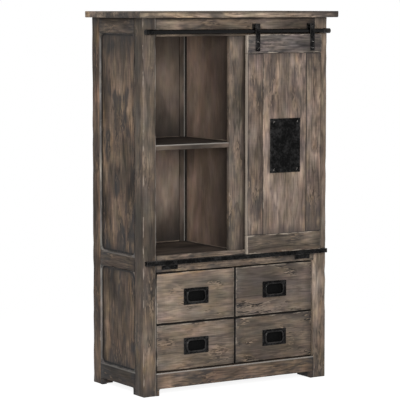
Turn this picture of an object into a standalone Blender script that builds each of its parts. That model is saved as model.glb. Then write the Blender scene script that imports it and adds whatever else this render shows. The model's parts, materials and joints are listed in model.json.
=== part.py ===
"""Bookcase with a plank door that slides on a round rod, an open niche and four drawers.

Metres, +Z up. The front faces -Y. The origin is the middle of the outer box, on the floor.
"""
import math

import bmesh
import bpy
from mathutils import Vector

# Gap between pieces that touch, and eased edges
SEAT = 0.0003
EDGE = 0.0025
FINE_EDGE = 0.001

# Facets of round pieces: steps in a full turn, in a corner and across the roller's groove
ROUND_STEPS = 32
CORNER_STEPS = 4
GROOVE_STEPS = 8
SHARP_ANGLE = math.radians(40)
WELD = 0.00001

# Case
HEIGHT = 1.800
CASE_WIDTH = 1.040
CASE_DEPTH = 0.480
TOP_THICKNESS = 0.030
TOP_SIDE_OVERHANG = 0.038
TOP_FRONT_OVERHANG = 0.046
POST_WIDTH = 0.070
POST_DEPTH = 0.080
BACK_POST_DEPTH = 0.069
RAIL_THICKNESS = 0.026
FRONT_TOP_RAIL = 0.086
SIDE_TOP_RAIL = 0.072
MID_RAIL = 0.078
SIDE_MID_RAIL = 0.071
DECK_LEVEL = 0.663
STILE_WIDTH = 0.088

# Rails at the floor, with a short leg at each end
APRON_TOP = 0.107
APRON_CLEARANCE = 0.032
APRON_LEG = 0.016
APRON_FILLET = 0.008

# Panels, back and inner boards
PANEL_RECESS = 0.013
PANEL_THICKNESS = 0.010
BACK_SETBACK = 0.024
BACK_THICKNESS = 0.010
PARTITION_THICKNESS = 0.020
DECK_THICKNESS = 0.020
BOTTOM_THICKNESS = 0.012
SHELF_LEVEL = 1.181
SHELF_THICKNESS = 0.025
SHELF_SETBACK = 0.004

# Drawers
DRAWER_SPLIT_X = -0.005
DRAWER_ROW_Z = 0.336
DRAWER_GAP = 0.005
DRAWER_RECESS = 0.008
DRAWER_FRONT_THICKNESS = 0.020
DRAWER_BACK_CLEARANCE = 0.033
DRAWER_BOX_WALL = 0.012
DRAWER_BOX_PLAY = 0.003
DRAWER_BOX_HEADROOM = 0.035
DIVIDER_THICKNESS = 0.016
DRAWER_SHELF_THICKNESS = 0.012

# Drawer pulls: a plate with a rimmed cup let into the wood
PULL_WIDTH = 0.138
PULL_HEIGHT = 0.079
PULL_PLATE = 0.003
CUP_WIDTH = 0.098
CUP_HEIGHT = 0.054
CUP_RADIUS = 0.020
CUP_DEPTH = 0.011
CUP_WALL = 0.003
CUP_RIM = 0.003

# Door
DOOR_STILE_LAP = 0.009
DOOR_POST_LAP = 0.015
DOOR_THICKNESS = 0.024
DOOR_GAP = 0.011
DOOR_TOP_RAIL = 0.089
DOOR_BOTTOM_RAIL = 0.089
DOOR_SIDE_BOARD = 0.090
DOOR_ROD_GAP = 0.0045
DOOR_GUIDE_GAP = 0.0015
PLAQUE_WIDTH = 0.174
PLAQUE_HEIGHT = 0.261
PLAQUE_THICKNESS = 0.005
PLAQUE_DROP = 0.009

# Rod, hangers and rollers
ROD_BELOW_TOP = 0.065
ROD_DIAMETER = 0.021
ROD_CHAMFER = 0.002
STANDOFF_DIAMETER = 0.014
STANDOFF_INSET = 0.052
HANGER_INSET = 0.057
STRAP_WIDTH = 0.025
STRAP_THICKNESS = 0.004
STRAP_DROP = 0.114
STRAP_BACK_DROP = 0.016
STRAP_BEND = 0.003
STRAP_HEADROOM = 0.001
ROLLER_TREAD = 0.0085
ROLLER_FLANGE = 0.012
ROLLER_SIDE_PLAY = 0.0013
AXLE_RADIUS = 0.004
AXLE_HEAD_RADIUS = 0.007
AXLE_HEAD = 0.003

# Grooved guide bar under the door and the fin that runs in it
GUIDE_BELOW_DECK = 0.0215
GUIDE_HEIGHT = 0.021
GUIDE_END_INSET = 0.008
GUIDE_LIP = 0.003
GUIDE_GROOVE = 0.016
GUIDE_PLAY = 0.002
GUIDE_PLATE_WIDTH = 0.086
GUIDE_PLATE_DROP = 0.024
GUIDE_PLATE_THICKNESS = 0.005
GUIDE_PLATE_INSET = 0.142
GUIDE_PLATE_WELD = 0.002
FIN_END_INSET = 0.065
FIN_THICKNESS = 0.007
FIN_INSET = 0.002
FIN_DROP = 0.013

# Planes of the case that its pieces share
CASE_TOP = HEIGHT - TOP_THICKNESS - SEAT
FRONT = (TOP_FRONT_OVERHANG - CASE_DEPTH) / 2
BACK = FRONT + CASE_DEPTH
HALF = CASE_WIDTH / 2
POST_INNER = HALF - POST_WIDTH
RAIL_INNER = HALF - RAIL_THICKNESS
POST_REAR = FRONT + POST_DEPTH
POST_FORE = BACK - BACK_POST_DEPTH
RAIL_REAR = FRONT + RAIL_THICKNESS
BACK_FACE = BACK - BACK_SETBACK
MID_BOTTOM = DECK_LEVEL - MID_RAIL
SIDE_MID_TOP = MID_BOTTOM + SIDE_MID_RAIL
FRONT_RAIL_BOTTOM = CASE_TOP - FRONT_TOP_RAIL
SIDE_RAIL_BOTTOM = CASE_TOP - SIDE_TOP_RAIL

# Places of the door and its running gear
DOOR_REAR = FRONT - DOOR_GAP
DOOR_FACE = DOOR_REAR - DOOR_THICKNESS
ROD_Y = (DOOR_REAR + DOOR_FACE) / 2
ROD_RADIUS = ROD_DIAMETER / 2
ROD_LEVEL = HEIGHT - TOP_THICKNESS - ROD_BELOW_TOP
GUIDE_LEVEL = DECK_LEVEL - GUIDE_BELOW_DECK
AXLE_LEVEL = ROD_LEVEL + ROD_RADIUS + SEAT + ROLLER_TREAD
STRAP_INSIDE = DOOR_THICKNESS / 2 + SEAT
DOOR_TOP = ROD_LEVEL - ROD_RADIUS - DOOR_ROD_GAP
DOOR_BOTTOM = GUIDE_LEVEL + DOOR_GUIDE_GAP
DOOR_LEFT = STILE_WIDTH / 2 - DOOR_STILE_LAP
DOOR_RIGHT = POST_INNER + DOOR_POST_LAP
DOOR_CENTRE_X = (DOOR_LEFT + DOOR_RIGHT) / 2
PLAQUE_LEVEL = (DOOR_BOTTOM + DOOR_TOP) / 2 - PLAQUE_DROP

SIDES = {"left": -1, "right": 1}
RUNS_ALONG_X = (math.radians(90), 0, 0)
RUNS_ALONG_Y = (math.radians(90), 0, math.radians(90))

for old in list(bpy.data.objects):
    bpy.data.objects.remove(old, do_unlink=True)


def new_collection(name):
    group = bpy.data.collections.new(name)
    bpy.context.scene.collection.children.link(group)
    return group


def new_material(name, colour, roughness, metallic):
    """A Principled BSDF in one colour, given as linear red, green and blue."""
    made = bpy.data.materials.new(name)
    made.use_nodes = True
    shader = made.node_tree.nodes["Principled BSDF"]
    shader.inputs["Base Color"].default_value = (*colour, 1.0)
    shader.inputs["Roughness"].default_value = roughness
    shader.inputs["Metallic"].default_value = metallic
    made.diffuse_color = (*colour, 1.0)
    return made


PARTS = new_collection("bookcase")
CUTTERS = new_collection("cutters")
WOOD = new_material("weathered_wood", (0.35, 0.29, 0.23), 0.75, 0.0)
INNER_WOOD = new_material("inner_wood", (0.16, 0.13, 0.10), 0.80, 0.0)
IRON = new_material("black_iron", (0.025, 0.025, 0.027), 0.50, 0.8)
NYLON = new_material("black_nylon", (0.03, 0.03, 0.03), 0.60, 0.0)


def new_empty(name, location):
    """An empty on a joint's axis, which carries the pieces that move together."""
    empty = bpy.data.objects.new(name, None)
    PARTS.objects.link(empty)
    empty.location = location
    return empty


def place(part, centre, carrier=None, rotation=(0, 0, 0)):
    """Puts an object at a world position, riding on an empty where one is given."""
    part.location = Vector(centre)
    part.rotation_euler = rotation
    if carrier:
        part.parent = carrier
        part.location -= carrier.location
    return part


def add_part(name, mesh, material):
    part = bpy.data.objects.new(name, mesh)
    mesh.materials.append(material)
    PARTS.objects.link(part)
    return part


def add_cutter(name, mesh):
    """A helper solid for a Boolean: drawn as wire and left out of renders."""
    cutter = bpy.data.objects.new(name, mesh)
    cutter.hide_render = True
    cutter.display_type = "WIRE"
    CUTTERS.objects.link(cutter)
    return cutter


def combine(part, operand, operation):
    change = part.modifiers.new(operand.name, "BOOLEAN")
    change.operation = operation
    change.object = operand
    change.solver = "EXACT"


def ease_edges(part, width, segments):
    ease = part.modifiers.new("eased edges", "BEVEL")
    ease.width = width
    ease.segments = segments
    ease.limit_method = "ANGLE"
    ease.angle_limit = SHARP_ANGLE


def box_mesh(name, low, high):
    """A box mesh centred on its own origin, as large as the space between two corners."""
    bm = bmesh.new()
    bmesh.ops.create_cube(bm, size=1.0)
    bmesh.ops.scale(bm, vec=Vector(high) - Vector(low), verts=bm.verts)
    mesh = bpy.data.meshes.new(name)
    bm.to_mesh(mesh)
    bm.free()
    return mesh


def middle(low, high):
    return (Vector(low) + Vector(high)) / 2


def board(name, low, high, material, carrier=None, edge=EDGE, segments=2):
    """A board between two opposite corners, with its edges eased."""
    part = add_part(name, box_mesh(name, low, high), material)
    ease_edges(part, edge, segments)
    return place(part, middle(low, high), carrier)


def cylinder_mesh(name, radius, length):
    """A smooth round bar along Z, centred on its own origin."""
    bm = bmesh.new()
    bmesh.ops.create_cone(bm, cap_ends=True, segments=ROUND_STEPS, radius1=radius, radius2=radius,
                          depth=length)
    mesh = bpy.data.meshes.new(name)
    bm.to_mesh(mesh)
    bm.free()
    mesh.shade_smooth()
    mesh.set_sharp_from_angle(angle=SHARP_ANGLE)
    return mesh


def outline_mesh(name, outline, thickness):
    """A flat outline filled and extruded to both sides of its plane, as one closed mesh."""
    curve = bpy.data.curves.new(name, "CURVE")
    curve.dimensions = "2D"
    curve.fill_mode = "BOTH"
    curve.extrude = thickness / 2
    spline = curve.splines.new("POLY")
    spline.points.add(len(outline) - 1)
    for point, (across, up) in zip(spline.points, outline):
        point.co = (across, up, 0, 1)
    spline.use_cyclic_u = True
    holder = bpy.data.objects.new(name, curve)
    bpy.context.scene.collection.objects.link(holder)
    graph = bpy.context.evaluated_depsgraph_get()
    mesh = bpy.data.meshes.new_from_object(holder.evaluated_get(graph))
    bpy.data.objects.remove(holder)
    bm = bmesh.new()
    bm.from_mesh(mesh)
    bmesh.ops.remove_doubles(bm, verts=bm.verts, dist=WELD)
    bmesh.ops.dissolve_limit(bm, angle_limit=math.radians(1), verts=bm.verts, edges=bm.edges)
    bm.to_mesh(mesh)
    bm.free()
    return mesh


def arc(centre, radius, start, end, steps=CORNER_STEPS):
    """Points along an arc, with its angles in degrees."""
    points = []
    for step in range(steps + 1):
        angle = math.radians(start + (end - start) * step / steps)
        points.append((centre[0] + radius * math.cos(angle), centre[1] + radius * math.sin(angle)))
    return points


def rounded_rectangle(width, height, radius):
    across, up = width / 2 - radius, height / 2 - radius
    corners = [((across, up), 0), ((-across, up), 90), ((-across, -up), 180), ((across, -up), 270)]
    return [point for centre, start in corners for point in arc(centre, radius, start, start + 90)]


def profile_mesh(name, profile, closed):
    """The outline of a turned piece: (radius, height) points joined by edges."""
    mesh = bpy.data.meshes.new(name)
    edges = [(i, i + 1) for i in range(len(profile) - 1)]
    if closed:
        edges.append((len(profile) - 1, 0))
    mesh.from_pydata([(radius, 0, height) for radius, height in profile], edges, [])
    return mesh


def turn_about_z(part):
    screw = part.modifiers.new("turned", "SCREW")
    screw.steps = ROUND_STEPS
    screw.render_steps = ROUND_STEPS
    screw.use_merge_vertices = True
    screw.merge_threshold = WELD
    screw.use_smooth_shade = True


def apron(name, low_end, high_end, plane, along, material):
    """A floor rail whose short end legs stand on the floor; it runs along X or Y."""
    half = (high_end - low_end) / 2
    inner = half - APRON_LEG
    rise = APRON_CLEARANCE - APRON_FILLET
    outline = [(half, 0), (half, APRON_TOP), (-half, APRON_TOP), (-half, 0), (-inner, 0)]
    outline += arc((-inner + APRON_FILLET, rise), APRON_FILLET, 180, 90)
    outline += arc((inner - APRON_FILLET, rise), APRON_FILLET, 90, 0)
    outline.append((inner, 0))
    part = add_part(name, outline_mesh(name, outline, RAIL_THICKNESS), material)
    ease_edges(part, FINE_EDGE, 1)
    centre = (low_end + high_end) / 2
    if along == "x":
        return place(part, (centre, plane, 0), None, RUNS_ALONG_X)
    return place(part, (plane, centre, 0), None, RUNS_ALONG_Y)


def make_posts_and_top():
    for side, sign in SIDES.items():
        x_low, x_high = sorted((sign * HALF, sign * POST_INNER))
        for end, (y_low, y_high) in {"front": (FRONT, POST_REAR), "back": (POST_FORE, BACK)}.items():
            board(f"post_{end}_{side}", (x_low, y_low, 0), (x_high, y_high, CASE_TOP), WOOD)
    reach = HALF + TOP_SIDE_OVERHANG
    low = (-reach, FRONT - TOP_FRONT_OVERHANG, HEIGHT - TOP_THICKNESS)
    board("top_board", low, (reach, BACK, HEIGHT), WOOD)


def make_sides():
    """Each side is a frame of three rails between the posts, with two sunk panels."""
    y_low, y_high = POST_REAR + SEAT, POST_FORE - SEAT
    for side, sign in SIDES.items():
        rail = sorted((sign * HALF, sign * RAIL_INNER))
        sunk = HALF - PANEL_RECESS
        panel = sorted((sign * sunk, sign * (sunk - PANEL_THICKNESS)))
        for level, low, high in (("top", SIDE_RAIL_BOTTOM, CASE_TOP), ("mid", MID_BOTTOM, SIDE_MID_TOP)):
            board(f"side_{level}_rail_{side}", (rail[0], y_low, low), (rail[1], y_high, high), WOOD)
        apron(f"side_bottom_rail_{side}", y_low, y_high, sum(rail) / 2, "y", WOOD)
        for level, low, high in (("upper", SIDE_MID_TOP, SIDE_RAIL_BOTTOM),
                                 ("lower", APRON_TOP, MID_BOTTOM)):
            board(f"side_panel_{level}_{side}", (panel[0], y_low, low + SEAT),
                  (panel[1], y_high, high - SEAT), WOOD, None, FINE_EDGE, 1)


def make_front():
    reach = POST_INNER - SEAT
    board("front_top_rail", (-reach, FRONT, FRONT_RAIL_BOTTOM), (reach, RAIL_REAR, CASE_TOP), WOOD)
    board("front_mid_rail", (-reach, FRONT, MID_BOTTOM), (reach, RAIL_REAR, DECK_LEVEL), WOOD)
    apron("front_apron", -reach, reach, (FRONT + RAIL_REAR) / 2, "x", WOOD)
    board("centre_stile", (-STILE_WIDTH / 2, FRONT, DECK_LEVEL + SEAT),
          (STILE_WIDTH / 2, RAIL_REAR, FRONT_RAIL_BOTTOM - SEAT), WOOD)


def bay_outline(sign, front, near, near_stile=None):
    """A board's outline in one bay: notched round both posts and, for a shelf, round the stile."""
    wide, narrow = RAIL_INNER - SEAT, POST_INNER - SEAT
    rear, fore, back = POST_REAR + SEAT, POST_FORE - SEAT, BACK_FACE - SEAT
    points = [(narrow, front), (narrow, rear), (wide, rear), (wide, fore), (narrow, fore),
              (narrow, back), (near, back)]
    if near_stile is None:
        points.append((near, front))
    else:
        points += [(near, RAIL_REAR + SEAT), (near_stile, RAIL_REAR + SEAT), (near_stile, front)]
    points = [(sign * across, along) for across, along in points]
    return points if sign > 0 else points[::-1]


def full_outline(front):
    """The outline of a floor over the whole case: both bays joined at the middle."""
    right = bay_outline(1, front, 0)
    left = bay_outline(-1, front, 0)
    return [point for point in right + left if point[0] != 0]


def flat_board(name, outline, top, thickness, material):
    part = add_part(name, outline_mesh(name, outline, thickness), material)
    ease_edges(part, FINE_EDGE, 1)
    return place(part, (0, 0, top - thickness / 2))


def make_inside():
    """Each bay has its own floor and shelf; the partition comes down between them."""
    behind_rail = RAIL_REAR + SEAT
    flat_board("bottom_board", full_outline(behind_rail), APRON_TOP, BOTTOM_THICKNESS, INNER_WOOD)
    board("partition", (-PARTITION_THICKNESS / 2, behind_rail, DECK_LEVEL - DECK_THICKNESS),
          (PARTITION_THICKNESS / 2, BACK_FACE - SEAT, CASE_TOP), INNER_WOOD, None, FINE_EDGE, 1)
    behind_drawers = FRONT + DRAWER_RECESS + DRAWER_FRONT_THICKNESS + DRAWER_GAP
    board("drawer_divider", (DRAWER_SPLIT_X - DIVIDER_THICKNESS / 2, behind_drawers, APRON_TOP + SEAT),
          (DRAWER_SPLIT_X + DIVIDER_THICKNESS / 2, BACK_FACE - SEAT, DECK_LEVEL - DECK_THICKNESS - SEAT),
          INNER_WOOD, None, FINE_EDGE, 1)
    by_partition = PARTITION_THICKNESS / 2 + SEAT
    for side, sign in SIDES.items():
        deck = bay_outline(sign, behind_rail, by_partition)
        flat_board(f"deck_{side}", deck, DECK_LEVEL, DECK_THICKNESS, INNER_WOOD)
        shelf = bay_outline(sign, FRONT + SHELF_SETBACK, by_partition, STILE_WIDTH / 2 + SEAT)
        flat_board(f"shelf_{side}", shelf, SHELF_LEVEL, SHELF_THICKNESS, INNER_WOOD)
        near = sign * DRAWER_SPLIT_X + DIVIDER_THICKNESS / 2 + SEAT
        flat_board(f"drawer_shelf_{side}", bay_outline(sign, behind_drawers, near),
                   DRAWER_ROW_Z + DRAWER_SHELF_THICKNESS / 2, DRAWER_SHELF_THICKNESS, INNER_WOOD)


def make_back():
    """Two panels side by side, closed in by a rail above and one below."""
    reach = POST_INNER - SEAT
    rail_face = BACK_FACE + BACK_THICKNESS + SEAT
    for side, sign in SIDES.items():
        x_low, x_high = sorted((sign * SEAT / 2, sign * reach))
        board(f"back_panel_{side}", (x_low, BACK_FACE, APRON_CLEARANCE),
              (x_high, BACK_FACE + BACK_THICKNESS, CASE_TOP), INNER_WOOD, None, FINE_EDGE, 1)
    for level, low, high in (("top", SIDE_RAIL_BOTTOM, CASE_TOP), ("bottom", APRON_CLEARANCE, APRON_TOP)):
        board(f"back_{level}_rail", (-reach, rail_face, low), (reach, BACK, high), INNER_WOOD)


def make_pull(name, centre, carrier):
    """The plate lies on the drawer front; its cup goes into a pocket that fits round it."""
    x, face, z = centre
    plate_low = Vector((x - PULL_WIDTH / 2, face - SEAT - PULL_PLATE, z - PULL_HEIGHT / 2))
    plate_high = Vector((x + PULL_WIDTH / 2, face - SEAT, z + PULL_HEIGHT / 2))
    pull = board(f"pull_{name}", plate_low, plate_high, IRON, carrier, FINE_EDGE, 1)
    rim_front = plate_low.y - CUP_RIM
    floor = face + CUP_DEPTH
    outer = floor + CUP_WALL
    cup_width, cup_height = CUP_WIDTH + 2 * CUP_WALL, CUP_HEIGHT + 2 * CUP_WALL
    shapes = {
        "cup": (cup_width, cup_height, CUP_RADIUS + CUP_WALL, rim_front, outer),
        "hollow": (CUP_WIDTH, CUP_HEIGHT, CUP_RADIUS, rim_front - CUP_RIM, floor),
        "pocket": (cup_width + 2 * SEAT, cup_height + 2 * SEAT, CUP_RADIUS + CUP_WALL + SEAT,
                   rim_front, outer + SEAT),
    }
    solids = {}
    for shape, (width, height, radius, y_low, y_high) in shapes.items():
        mesh = outline_mesh(shape, rounded_rectangle(width, height, radius), y_high - y_low)
        solids[shape] = add_cutter(f"{shape}_{name}", mesh)
        place(solids[shape], (x, (y_low + y_high) / 2, z), carrier, RUNS_ALONG_X)
    combine(pull, solids["cup"], "UNION")
    combine(pull, solids["hollow"], "DIFFERENCE")
    return solids["pocket"]


def make_tray(name, low, high, carrier):
    """A drawer's box: one shell, open at the top."""
    mesh = box_mesh(name, low, high)
    bm = bmesh.new()
    bm.from_mesh(mesh)
    bmesh.ops.delete(bm, geom=[face for face in bm.faces if face.normal.z > 0.5], context="FACES_ONLY")
    bm.to_mesh(mesh)
    bm.free()
    tray = place(add_part(name, mesh, INNER_WOOD), middle(low, high), carrier)
    wall = tray.modifiers.new("walls", "SOLIDIFY")
    wall.thickness = DRAWER_BOX_WALL
    wall.offset = -1
    wall.use_even_offset = True


def make_drawers():
    face = FRONT + DRAWER_RECESS
    box_front = face + DRAWER_FRONT_THICKNESS + SEAT
    gap, play = DRAWER_GAP, DRAWER_BOX_PLAY
    box_rear = BACK_FACE - DRAWER_BACK_CLEARANCE
    divider = {side: DRAWER_SPLIT_X + sign * DIVIDER_THICKNESS / 2 for side, sign in SIDES.items()}
    columns = {
        "left": ((gap - POST_INNER, DRAWER_SPLIT_X - gap / 2), (play - POST_INNER, divider["left"] - play)),
        "right": ((DRAWER_SPLIT_X + gap / 2, POST_INNER - gap), (divider["right"] + play, POST_INNER - play)),
    }
    rows = {
        "upper": (DRAWER_ROW_Z + gap / 2, MID_BOTTOM - gap, DRAWER_ROW_Z + DRAWER_SHELF_THICKNESS / 2),
        "lower": (APRON_TOP + gap, DRAWER_ROW_Z - gap / 2, APRON_TOP),
    }
    for row, (z_low, z_high, bearing) in rows.items():
        for column, (front_x, box_x) in columns.items():
            name = f"{row}_{column}"
            centre = (sum(front_x) / 2, face, (z_low + z_high) / 2)
            carrier = new_empty(f"drawer_{name}_slide", centre)
            front = board(f"drawer_front_{name}", (front_x[0], face, z_low),
                          (front_x[1], face + DRAWER_FRONT_THICKNESS, z_high), WOOD, carrier)
            combine(front, make_pull(name, centre, carrier), "DIFFERENCE")
            make_tray(f"drawer_box_{name}", (box_x[0], box_front, bearing + SEAT),
                      (box_x[1], box_rear, z_high - DRAWER_BOX_HEADROOM), carrier)


def make_rod():
    """The rod lies along the front on two standoffs, which also stop the hangers."""
    along_x = (0, math.radians(90), 0)
    rod = add_part("rod", cylinder_mesh("rod", ROD_RADIUS, CASE_WIDTH), IRON)
    ease_edges(rod, ROD_CHAMFER, 2)
    place(rod, (0, ROD_Y, ROD_LEVEL), None, along_x)
    saddle = add_cutter("saddle", cylinder_mesh("saddle", ROD_RADIUS + SEAT, CASE_WIDTH))
    place(saddle, (0, ROD_Y, ROD_LEVEL), None, along_x)
    length = FRONT - SEAT - ROD_Y
    for side, sign in SIDES.items():
        name = f"standoff_{side}"
        standoff = add_part(name, cylinder_mesh(name, STANDOFF_DIAMETER / 2, length), IRON)
        place(standoff, (sign * (HALF - STANDOFF_INSET), ROD_Y + length / 2, ROD_LEVEL), None, RUNS_ALONG_X)
        combine(standoff, saddle, "DIFFERENCE")


def make_guide():
    """A bar with a groove along its top, welded to two plates that hold it to the middle rail."""
    rear = FRONT - SEAT
    groove_low = DOOR_REAR - FIN_INSET - FIN_THICKNESS - GUIDE_PLAY
    groove_high = DOOR_REAR - FIN_INSET + GUIDE_PLAY
    face = groove_low - GUIDE_LIP
    bottom, floor = GUIDE_LEVEL - GUIDE_HEIGHT, GUIDE_LEVEL - GUIDE_GROOVE
    outline = [(rear, bottom), (rear, GUIDE_LEVEL), (groove_high, GUIDE_LEVEL), (groove_high, floor),
               (groove_low, floor), (groove_low, GUIDE_LEVEL), (face, GUIDE_LEVEL), (face, bottom)]
    length = CASE_WIDTH - 2 * GUIDE_END_INSET
    bar = add_part("guide_bar", outline_mesh("guide_bar", outline, length), IRON)
    place(bar, (0, 0, 0), None, RUNS_ALONG_Y)
    for side, sign in SIDES.items():
        x = sign * (HALF - GUIDE_PLATE_INSET)
        low = (x - GUIDE_PLATE_WIDTH / 2, rear - GUIDE_PLATE_THICKNESS, bottom - GUIDE_PLATE_DROP)
        high = (x + GUIDE_PLATE_WIDTH / 2, rear, bottom + GUIDE_PLATE_WELD)
        plate = add_cutter(f"guide_plate_{side}", box_mesh("guide_plate", low, high))
        place(plate, middle(low, high))
        combine(bar, plate, "UNION")


def make_hanger(side, x, door):
    """A strap bent over the rod, with the roller's axle fixed across it."""
    inside = STRAP_INSIDE
    outside = inside + STRAP_THICKNESS
    ceiling = ROLLER_FLANGE + STRAP_HEADROOM
    top = ceiling + STRAP_THICKNESS
    bend = STRAP_BEND
    outline = [(-inside, -STRAP_DROP), (-inside, ceiling), (inside, ceiling), (inside, -STRAP_BACK_DROP),
               (outside, -STRAP_BACK_DROP)]
    outline += arc((outside - bend, top - bend), bend, 0, 90)
    outline += arc((bend - outside, top - bend), bend, 90, 180)
    outline.append((-outside, -STRAP_DROP))
    name = f"hanger_{side}"
    strap = add_part(name, outline_mesh(name, outline, STRAP_WIDTH), IRON)
    place(strap, (x, ROD_Y, AXLE_LEVEL), door, RUNS_ALONG_Y)
    head = outside + AXLE_HEAD
    seat = outside - STRAP_THICKNESS / 2
    profile = [(0, head), (AXLE_HEAD_RADIUS, head), (AXLE_HEAD_RADIUS, seat), (AXLE_RADIUS, seat),
               (AXLE_RADIUS, -seat), (AXLE_HEAD_RADIUS, -seat), (AXLE_HEAD_RADIUS, -head), (0, -head)]
    axle = add_cutter(f"axle_{side}", profile_mesh("axle", profile, False))
    turn_about_z(axle)
    place(axle, (x, ROD_Y, AXLE_LEVEL), door, RUNS_ALONG_X)
    combine(strap, axle, "UNION")


def make_roller(side, x, door):
    """A wheel turned with a groove that fits the rod; its origin is on the axle."""
    groove = ROD_RADIUS + SEAT
    reach = ROLLER_TREAD + groove
    edge = math.degrees(math.acos((reach - ROLLER_FLANGE) / groove))
    bore = AXLE_RADIUS + SEAT
    half_width = STRAP_INSIDE - ROLLER_SIDE_PLAY
    profile = [(ROLLER_FLANGE, half_width)]
    profile += arc((reach, 0), groove, 180 - edge, 180 + edge, GROOVE_STEPS)
    profile += [(ROLLER_FLANGE, -half_width), (bore, -half_width), (bore, half_width)]
    roller = add_part(f"roller_{side}", profile_mesh("roller", profile, True), IRON)
    turn_about_z(roller)
    place(roller, (x, ROD_Y, AXLE_LEVEL), door, RUNS_ALONG_X)


def make_door():
    """Five boards, hung on two hangers; a fin below runs in the guide bar's groove."""
    door = new_empty("door_slide", (DOOR_CENTRE_X, ROD_Y, ROD_LEVEL))
    left, right = DOOR_LEFT, DOOR_RIGHT
    low, high = DOOR_BOTTOM + DOOR_BOTTOM_RAIL, DOOR_TOP - DOOR_TOP_RAIL

    def plank(name, x_low, x_high, z_low, z_high):
        board(f"door_{name}", (x_low, DOOR_FACE, z_low), (x_high, DOOR_REAR, z_high), WOOD, door)

    plank("top_rail", left, right, high, DOOR_TOP)
    plank("bottom_rail", left, right, DOOR_BOTTOM, low)
    joints = [left, left + DOOR_SIDE_BOARD, right - DOOR_SIDE_BOARD, right]
    for index, name in enumerate(("left_board", "middle_board", "right_board")):
        x_low = joints[index] + (SEAT if index else 0)
        plank(name, x_low, joints[index + 1], low + SEAT, high - SEAT)
    plaque_low = (DOOR_CENTRE_X - PLAQUE_WIDTH / 2, DOOR_FACE - SEAT - PLAQUE_THICKNESS,
                  PLAQUE_LEVEL - PLAQUE_HEIGHT / 2)
    plaque_high = (DOOR_CENTRE_X + PLAQUE_WIDTH / 2, DOOR_FACE - SEAT, PLAQUE_LEVEL + PLAQUE_HEIGHT / 2)
    board("plaque", plaque_low, plaque_high, IRON, door, FINE_EDGE, 1)
    fin_rear = DOOR_REAR - FIN_INSET
    board("guide_fin", (left + FIN_END_INSET, fin_rear - FIN_THICKNESS, GUIDE_LEVEL - FIN_DROP),
          (right - FIN_END_INSET, fin_rear, DOOR_BOTTOM - SEAT), NYLON, door, FINE_EDGE, 1)
    for side, x in ("left", left + HANGER_INSET), ("right", right - HANGER_INSET):
        make_hanger(side, x, door)
        make_roller(side, x, door)


make_posts_and_top()
make_sides()
make_front()
make_inside()
make_back()
make_drawers()
make_rod()
make_guide()
make_door()
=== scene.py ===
# %% [markdown]
# # A weathered bookcase with a sliding plank door
# The solids of the bookcase come in as a fixed frame, in metres, with every piece where it belongs. This
# lesson dresses them: each board gets its own cut of washed wood, the iron gets its cast skin, and the
# small things that hold a real bookcase together, such as screws, beads and caps, are added on top.

# %% Load the frame
import json
import math

import bmesh
import bpy
from mathutils import Euler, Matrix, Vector
from mathutils.noise import noise as smooth_noise


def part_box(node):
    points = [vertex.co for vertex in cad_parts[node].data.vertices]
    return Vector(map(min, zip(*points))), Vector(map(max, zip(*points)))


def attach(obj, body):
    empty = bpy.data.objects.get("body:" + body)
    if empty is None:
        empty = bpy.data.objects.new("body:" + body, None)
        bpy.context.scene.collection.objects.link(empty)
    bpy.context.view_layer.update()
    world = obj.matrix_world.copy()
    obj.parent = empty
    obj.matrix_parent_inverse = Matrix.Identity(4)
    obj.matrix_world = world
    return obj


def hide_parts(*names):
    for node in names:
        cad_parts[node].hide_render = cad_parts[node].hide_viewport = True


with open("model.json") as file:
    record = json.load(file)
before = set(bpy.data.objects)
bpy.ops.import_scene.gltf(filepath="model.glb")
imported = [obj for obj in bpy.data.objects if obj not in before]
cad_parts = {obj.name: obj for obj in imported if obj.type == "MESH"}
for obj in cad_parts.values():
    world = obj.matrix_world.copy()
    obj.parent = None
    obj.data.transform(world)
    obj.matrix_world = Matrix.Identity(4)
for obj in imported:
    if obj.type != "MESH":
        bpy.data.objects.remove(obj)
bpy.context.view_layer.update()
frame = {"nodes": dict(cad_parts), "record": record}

# %% [markdown]
# ## Small helpers for materials
# A colour picker shows sRGB values, but a shader works with linear light, so one function turns a hex
# colour into linear numbers. A node tree is a long list of nodes and links. One helper that adds a node,
# sets its properties and fills its sockets, from a value or from another node, keeps that list readable.

# %% Colour and node helpers
def linear(hex_colour):
    """An sRGB hex colour as linear red, green, blue and alpha."""
    channels = [int(hex_colour[i:i + 2], 16) / 255 for i in (1, 3, 5)]
    return (*[c / 12.92 if c <= 0.04045 else ((c + 0.055) / 1.055) ** 2.4 for c in channels], 1.0)


def fill_sockets(node, sockets):
    """Fills a node's inputs, each with a value, an output, or the first output of another node."""
    for socket, source in sockets.items():
        if isinstance(source, bpy.types.Node):
            source = source.outputs[0]
        if isinstance(source, bpy.types.NodeSocket):
            node.id_data.links.new(source, node.inputs[socket])
        else:
            node.inputs[socket].default_value = source


def add_node(tree, kind, sockets=None, **settings):
    """Adds a node, sets its own properties and fills its sockets."""
    node = tree.nodes.new(kind)
    for name, value in settings.items():
        setattr(node, name, value)
    fill_sockets(node, sockets or {})
    return node


def add_sockets(tree, direction, sockets):
    """Gives a node group inputs or outputs, from their names and kinds."""
    for name, kind in sockets.items():
        tree.interface.new_socket(name, in_out=direction, socket_type=f"NodeSocket{kind}")


print("white is", linear("#ffffff"))

# %% [markdown]
# ## Washed wood
# The real boards are softwood, brushed so that the grain stands up, stained brown, and rubbed over with a
# dark wash that stays in patches. Sanding then bares the wood in pale streaks and along the edges. An image
# texture could show all that, but it would repeat. Here noise is stretched along the grain instead, at
# sizes measured in millimetres. Real fibres are under 1 mm wide. A pixel of the whole view covers about 5
# mm, so they are drawn 4.5 mm wide.

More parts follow.
